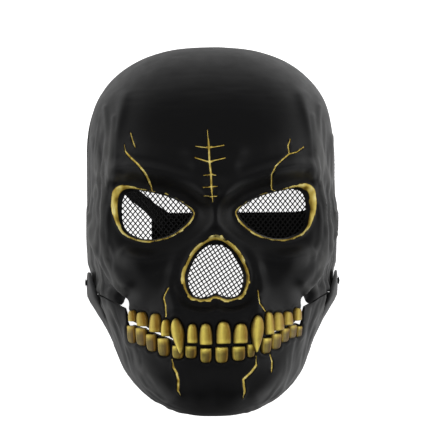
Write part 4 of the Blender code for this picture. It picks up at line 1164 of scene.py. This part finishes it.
# Lower teeth
# The jaw's own fifteen teeth, squarer than the upper ones, in the same antique gold.
# The lower teeth are darker in their middles, with the dark wash and painted shade.
lower_teeth = row_of_teeth("lower_teeth", LOWER_TEETH, jaw_face, 1.9, 4.0, 0.72)
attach(lower_teeth, "jaw")

# Eye and nose nets
# A thin black moulded net is fixed behind each opening. Its round strands cross in diamonds, and a flat
# border holds them against the shell.
NET_GAP, NET_BORDER = 0.4, 3.2
STRAND_RADIUS, STRAND_SINK, BORDER_THICKNESS, NET_SET_BACK = 0.00042, 0.5, 1.0, 0.15


def speckled(name, scale, detail, dark, pale, settings):
    """A plain material whose colour drifts between two tones in a fine grain."""
    made, tree, shader = material(name)
    place = node(tree, "ShaderNodeTexCoord").outputs["Object"]
    grain = node(tree, "ShaderNodeTexNoise", inputs={"Vector": place, "Scale": scale, "Detail": detail})
    tone = node(tree, "ShaderNodeMix", {"data_type": "RGBA"},
                {"Factor": grain.outputs["Fac"], 6: linear(dark), 7: linear(pale)})
    connect(tree, shader, {"Base Color": tone.outputs[2], **settings})
    return made


# Matt black moulded polyethylene: hardly any shine, so the net reads as black lines over the white.
net_black = speckled("matt_black_moulded_net", 1500.0, 2.0, "#050505", "#0c0c0c",
                     {"Roughness": 0.55, "Specular IOR Level": 0.2})

strands = bpy.data.node_groups.new("net_strands", "GeometryNodeTree")
strands.interface.new_socket("Geometry", in_out="INPUT", socket_type="NodeSocketGeometry")
radius_in = strands.interface.new_socket("Strand radius", in_out="INPUT", socket_type="NodeSocketFloat")
look_in = strands.interface.new_socket("Material", in_out="INPUT", socket_type="NodeSocketMaterial")
strands.interface.new_socket("Geometry", in_out="OUTPUT", socket_type="NodeSocketGeometry")
entry = node(strands, "NodeGroupInput")
lines = node(strands, "GeometryNodeMeshToCurve", inputs={"Mesh": entry.outputs["Geometry"]})
ring = node(strands, "GeometryNodeCurvePrimitiveCircle",
            inputs={"Resolution": 6, "Radius": entry.outputs["Strand radius"]})
tubes = node(strands, "GeometryNodeCurveToMesh", inputs={
    "Curve": lines.outputs["Curve"], "Profile Curve": ring.outputs["Curve"], "Fill Caps": True,
})
real = node(strands, "GeometryNodeRealizeInstances", inputs={"Geometry": tubes.outputs["Mesh"]})
dressed = node(strands, "GeometryNodeSetMaterial",
               inputs={"Geometry": real.outputs["Geometry"], "Material": entry.outputs["Material"]})
node(strands, "NodeGroupOutput", inputs={"Geometry": dressed.outputs["Geometry"]})


def net_lines(border, pitch, turn):
    """Straight strands in two crossing directions, cut off at the border."""
    reach, spacing, most = 60, 0.8, 40
    pieces = []
    centre = border.mean(axis=0)
    for sign in (-1, 1):
        angle = math.atan2(sign * pitch[1], pitch[0]) + math.radians(turn)
        along = np.array([math.cos(angle), math.sin(angle)])
        across = np.array([-along[1], along[0]])
        gap = pitch[0] * pitch[1] / math.hypot(*pitch)
        for k in range(-most, most + 1):
            line = centre + across * k * gap + along * np.arange(-reach, reach, spacing)[:, None]
            kept = inside(line[:, 0], line[:, 1], border)
            runs = np.flatnonzero(np.diff(np.concatenate([[0], kept.astype(int), [0]])))
            pieces += [line[a:b] for a, b in zip(runs[::2], runs[1::2]) if b - a > 2]
    return pieces


def net(name, hole, floor, drop, pitch, turn, node_name):
    """One net: its strands from the tree, joined with its flat border."""
    hole = hole[::2]
    outward = out_of(hole)
    border = hole + outward * NET_BORDER

    def lay(plan, down):
        top = floor(plan[:, 0], plan[:, 1]) - drop - WALL - NET_GAP
        return np.column_stack([plan, top - down])

    points, edges = [], []
    for line in net_lines(border, pitch, turn):
        edges += [(len(points) + i, len(points) + i + 1) for i in range(len(line) - 1)]
        points += lay(line, STRAND_SINK).tolist()
    mesh = bpy.data.meshes.new(name)
    mesh.from_pydata(((np.array(points) - (0, MIDDLE_Y, 0)) * 0.001).tolist(), edges, [])
    drawn = bpy.data.objects.new(name + "_lines", mesh)
    bpy.context.scene.collection.objects.link(drawn)
    step = drawn.modifiers.new("Strands", "NODES")
    step.node_group = strands
    step[radius_in.identifier] = STRAND_RADIUS
    step[look_in.identifier] = net_black
    bpy.context.view_layer.update()
    evaluated = drawn.evaluated_get(bpy.context.evaluated_depsgraph_get())
    made_mesh = bpy.data.meshes.new_from_object(evaluated)
    bpy.data.objects.remove(drawn)
    inner_edge = hole + outward * NET_SET_BACK
    band = triangulate([border, inner_edge], np.zeros((0, 2)), 1)
    plan = np.concatenate([border, inner_edge])
    front = lay(plan, 0.0)
    both_sides = np.concatenate([front, front - (0, 0, BORDER_THICKNESS)])
    ring_piece = piece(name, both_sides, wall_faces(band, len(front)), net_black)
    work = bmesh.new()
    work.from_mesh(ring_piece.data)
    work.from_mesh(made_mesh)
    work.to_mesh(ring_piece.data)
    work.free()
    ring_piece.data.set_sharp_from_angle(angle=SHARP)
    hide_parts(node_name)
    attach(ring_piece, "shell")


net("eye_mesh_right", EYE_HOLE_LOOP, eye_floor, EYE_DROP, (3.7, 4.4), 0, "eye_net_right")
net("eye_mesh_left", mirrored(EYE_HOLE_LOOP), eye_floor, EYE_DROP, (3.7, 4.4), 0, "eye_net_left")
net("nose_mesh", NOSE_HOLE_LOOP, nose_floor, NOSE_DROP, (3.6, 4.0), -12, "nose_net")

# Jaw rivets
# A black steel rivet at each ear holds the jaw's flat ear to the shell and lets it turn.
# Blackened steel: a dull grey glint on a dark head, worn a little paler in specks.
rivet_black = speckled("blackened_steel_rivet", 700.0, 3.0, "#151515", "#2c2c2c",
                       {"Metallic": 0.6, "Roughness": 0.4})
RIVET_SIDES, TAB_OUTER_X = 28, 95.8
RIVET_PROFILE = (
    # distance along X, radius
    (87.6, 3.4), (87.9, 4.1), (88.4, 4.4), (89.0, 4.4), (89.0, 2.0), (TAB_OUTER_X + 0.3, 2.0),
    (TAB_OUTER_X + 0.3, 3.3), (TAB_OUTER_X + 0.6, 3.0), (TAB_OUTER_X + 0.9, 2.2), (TAB_OUTER_X + 1.2, 0.8),
)
turns = [2 * math.pi * i / RIVET_SIDES for i in range(RIVET_SIDES)]
for side, name in ((-1, "left"), (1, "right")):
    points = [
        (side * x, HINGE_Y + radius * math.cos(turn), HINGE_Z + radius * math.sin(turn))
        for x, radius in RIVET_PROFILE for turn in turns
    ]
    faces = ring_faces(len(RIVET_PROFILE), RIVET_SIDES)
    rivet = piece(f"rivet_{name}", points, [f[::side] for f in faces], rivet_black)
    rivet.data.set_sharp_from_angle(angle=SHARP)
    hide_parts(f"jaw_rivet_{name}")
    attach(rivet, "shell")

# Head band
# A flat black elastic, 25 mm wide, is fixed inside both side walls. It lies folded in three on the table
# inside the mask, and shows as dark shapes through the eye nets.
STRAP_WIDTH, STRAP_THICKNESS, STRAP_STEP = 25.0, 1.2, 3.0
STRAP_ROWS = np.array([
    # x, y, z of the band's middle, turn of its width from Y in plan, tip of its width from flat
    (89.0, 64.0, 14.5, 90.0, 90.0),
    (88.8, 54.0, 14.5, 88.0, 90.0),
    (88.0, 38.0, 14.2, 82.0, 82.0),
    (86.0, 24.0, 12.6, 68.0, 66.0),
    (81.5, 12.0, 8.6, 42.0, 40.0),
    (74.0, 6.0, 4.2, 14.0, 14.0),
    (66.0, 4.7, 1.6, 3.0, 3.0),
    (56.0, 4.6, 1.0, 0.0, 0.0),
    (38.0, 4.6, 1.0, 0.0, 0.0),
    (-44.0, 4.6, 1.0, 0.0, 0.0),
    (-45.4, 4.6, 1.8, 0.0, 0.0),
    (-44.0, 4.6, 2.6, 0.0, 0.0),
    (43.0, 4.6, 2.6, 0.0, 0.0),
    (44.4, 4.6, 3.4, 0.0, 0.0),
    (43.0, 4.6, 4.2, 0.0, 0.0),
    (0.0, 4.6, 4.2, 0.0, 0.0),
    (-14.0, 4.3, 5.0, 0.0, 2.0),
    (-25.8, 4.2, 8.2, -3.0, 18.0),
    (-35.2, 8.0, 12.8, -17.0, 44.0),
    (-41.6, 16.0, 14.8, -33.0, 63.0),
    (-47.9, 21.8, 14.0, -43.0, 69.0),
    (-56.2, 28.9, 13.4, -44.0, 68.0),
    (-68.0, 38.5, 13.8, -43.0, 72.0),
    (-79.5, 47.0, 14.3, -41.0, 80.0),
    (-88.6, 55.5, 14.5, -40.0, 90.0),
    (-89.0, 64.0, 14.5, -40.0, 90.0),
])
# Matt black woven elastic: it swallows the light, and its ribs run along the band.
elastic_black, tree, shader = material("matt_black_woven_elastic")
cloth = node(tree, "ShaderNodeUVMap", {"uv_map": "cloth"}).outputs["UV"]
ribs = node(tree, "ShaderNodeTexWave", {"bands_direction": "X"},
            {"Vector": cloth, "Scale": 0.32, "Distortion": 0.4}).outputs["Fac"]
tone = node(tree, "ShaderNodeMix", {"data_type": "RGBA"},
            {"Factor": ribs, 6: linear("#030303"), 7: linear("#0b0b0b")})
bump = node(tree, "ShaderNodeBump", inputs={"Height": ribs, "Distance": 0.0002, "Strength": 0.6})
connect(tree, shader, {
    "Base Color": tone.outputs[2], "Normal": bump.outputs["Normal"], "Roughness": 0.9,
    "Specular IOR Level": 0.15,
})
gaps = np.linalg.norm(np.diff(STRAP_ROWS[:, :3], axis=0), axis=1)
place_along = np.concatenate([[0], np.cumsum(gaps)])
steps = np.unique(np.concatenate([place_along, np.arange(0, place_along[-1], STRAP_STEP)]))
fine = np.column_stack([np.interp(steps, place_along, STRAP_ROWS[:, k]) for k in range(5)])
along = np.gradient(fine[:, :3], axis=0)
turn, tip = np.radians(fine[:, 3]), np.radians(fine[:, 4])
across = np.column_stack([-np.sin(turn) * np.cos(tip), np.cos(turn) * np.cos(tip), np.sin(tip)])
through = np.cross(across, along)
through *= STRAP_THICKNESS / 2 / np.linalg.norm(through, axis=1)[:, None]
STRAP_PROFILE = (
    # shares of the width and of half the thickness, once around the band
    (-0.5, -0.6), (-0.3, -1), (0, -1), (0.3, -1), (0.5, -0.6), (0.5, 0.6), (0.3, 1), (0, 1), (-0.3, 1),
    (-0.5, 0.6),
)
points, uv_rows = [], []
for centre, wide, thick, s in zip(fine[:, :3], across, through, steps):
    for a, b in STRAP_PROFILE:
        points.append(centre + wide * a * STRAP_WIDTH + thick * b)
        uv_rows.append(((a + 0.5) * STRAP_WIDTH, s))
band = piece("elastic_band", points, ring_faces(len(fine), len(STRAP_PROFILE)), elastic_black)
layer = band.data.uv_layers.new(name="cloth")
for loop in band.data.loops:
    layer.data[loop.index].uv = uv_rows[loop.vertex_index]
facing_out(band)
band.data.set_sharp_from_angle(angle=SHARP)
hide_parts("head_strap")
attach(band, "shell")

# Band anchors
# A plain pad of the shell's plastic welds each end of the band to the side wall. It has the shell's satin
# black, without the gold paint or the rubbing with its painted highlight, as neither attribute is on it.
pad_black = black_plastic.copy()
pad_black.name = "satin_black_welded_pad"
for name in ("strap_anchor_left", "strap_anchor_right"):
    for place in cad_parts[name].material_slots:
        place.material = pad_black
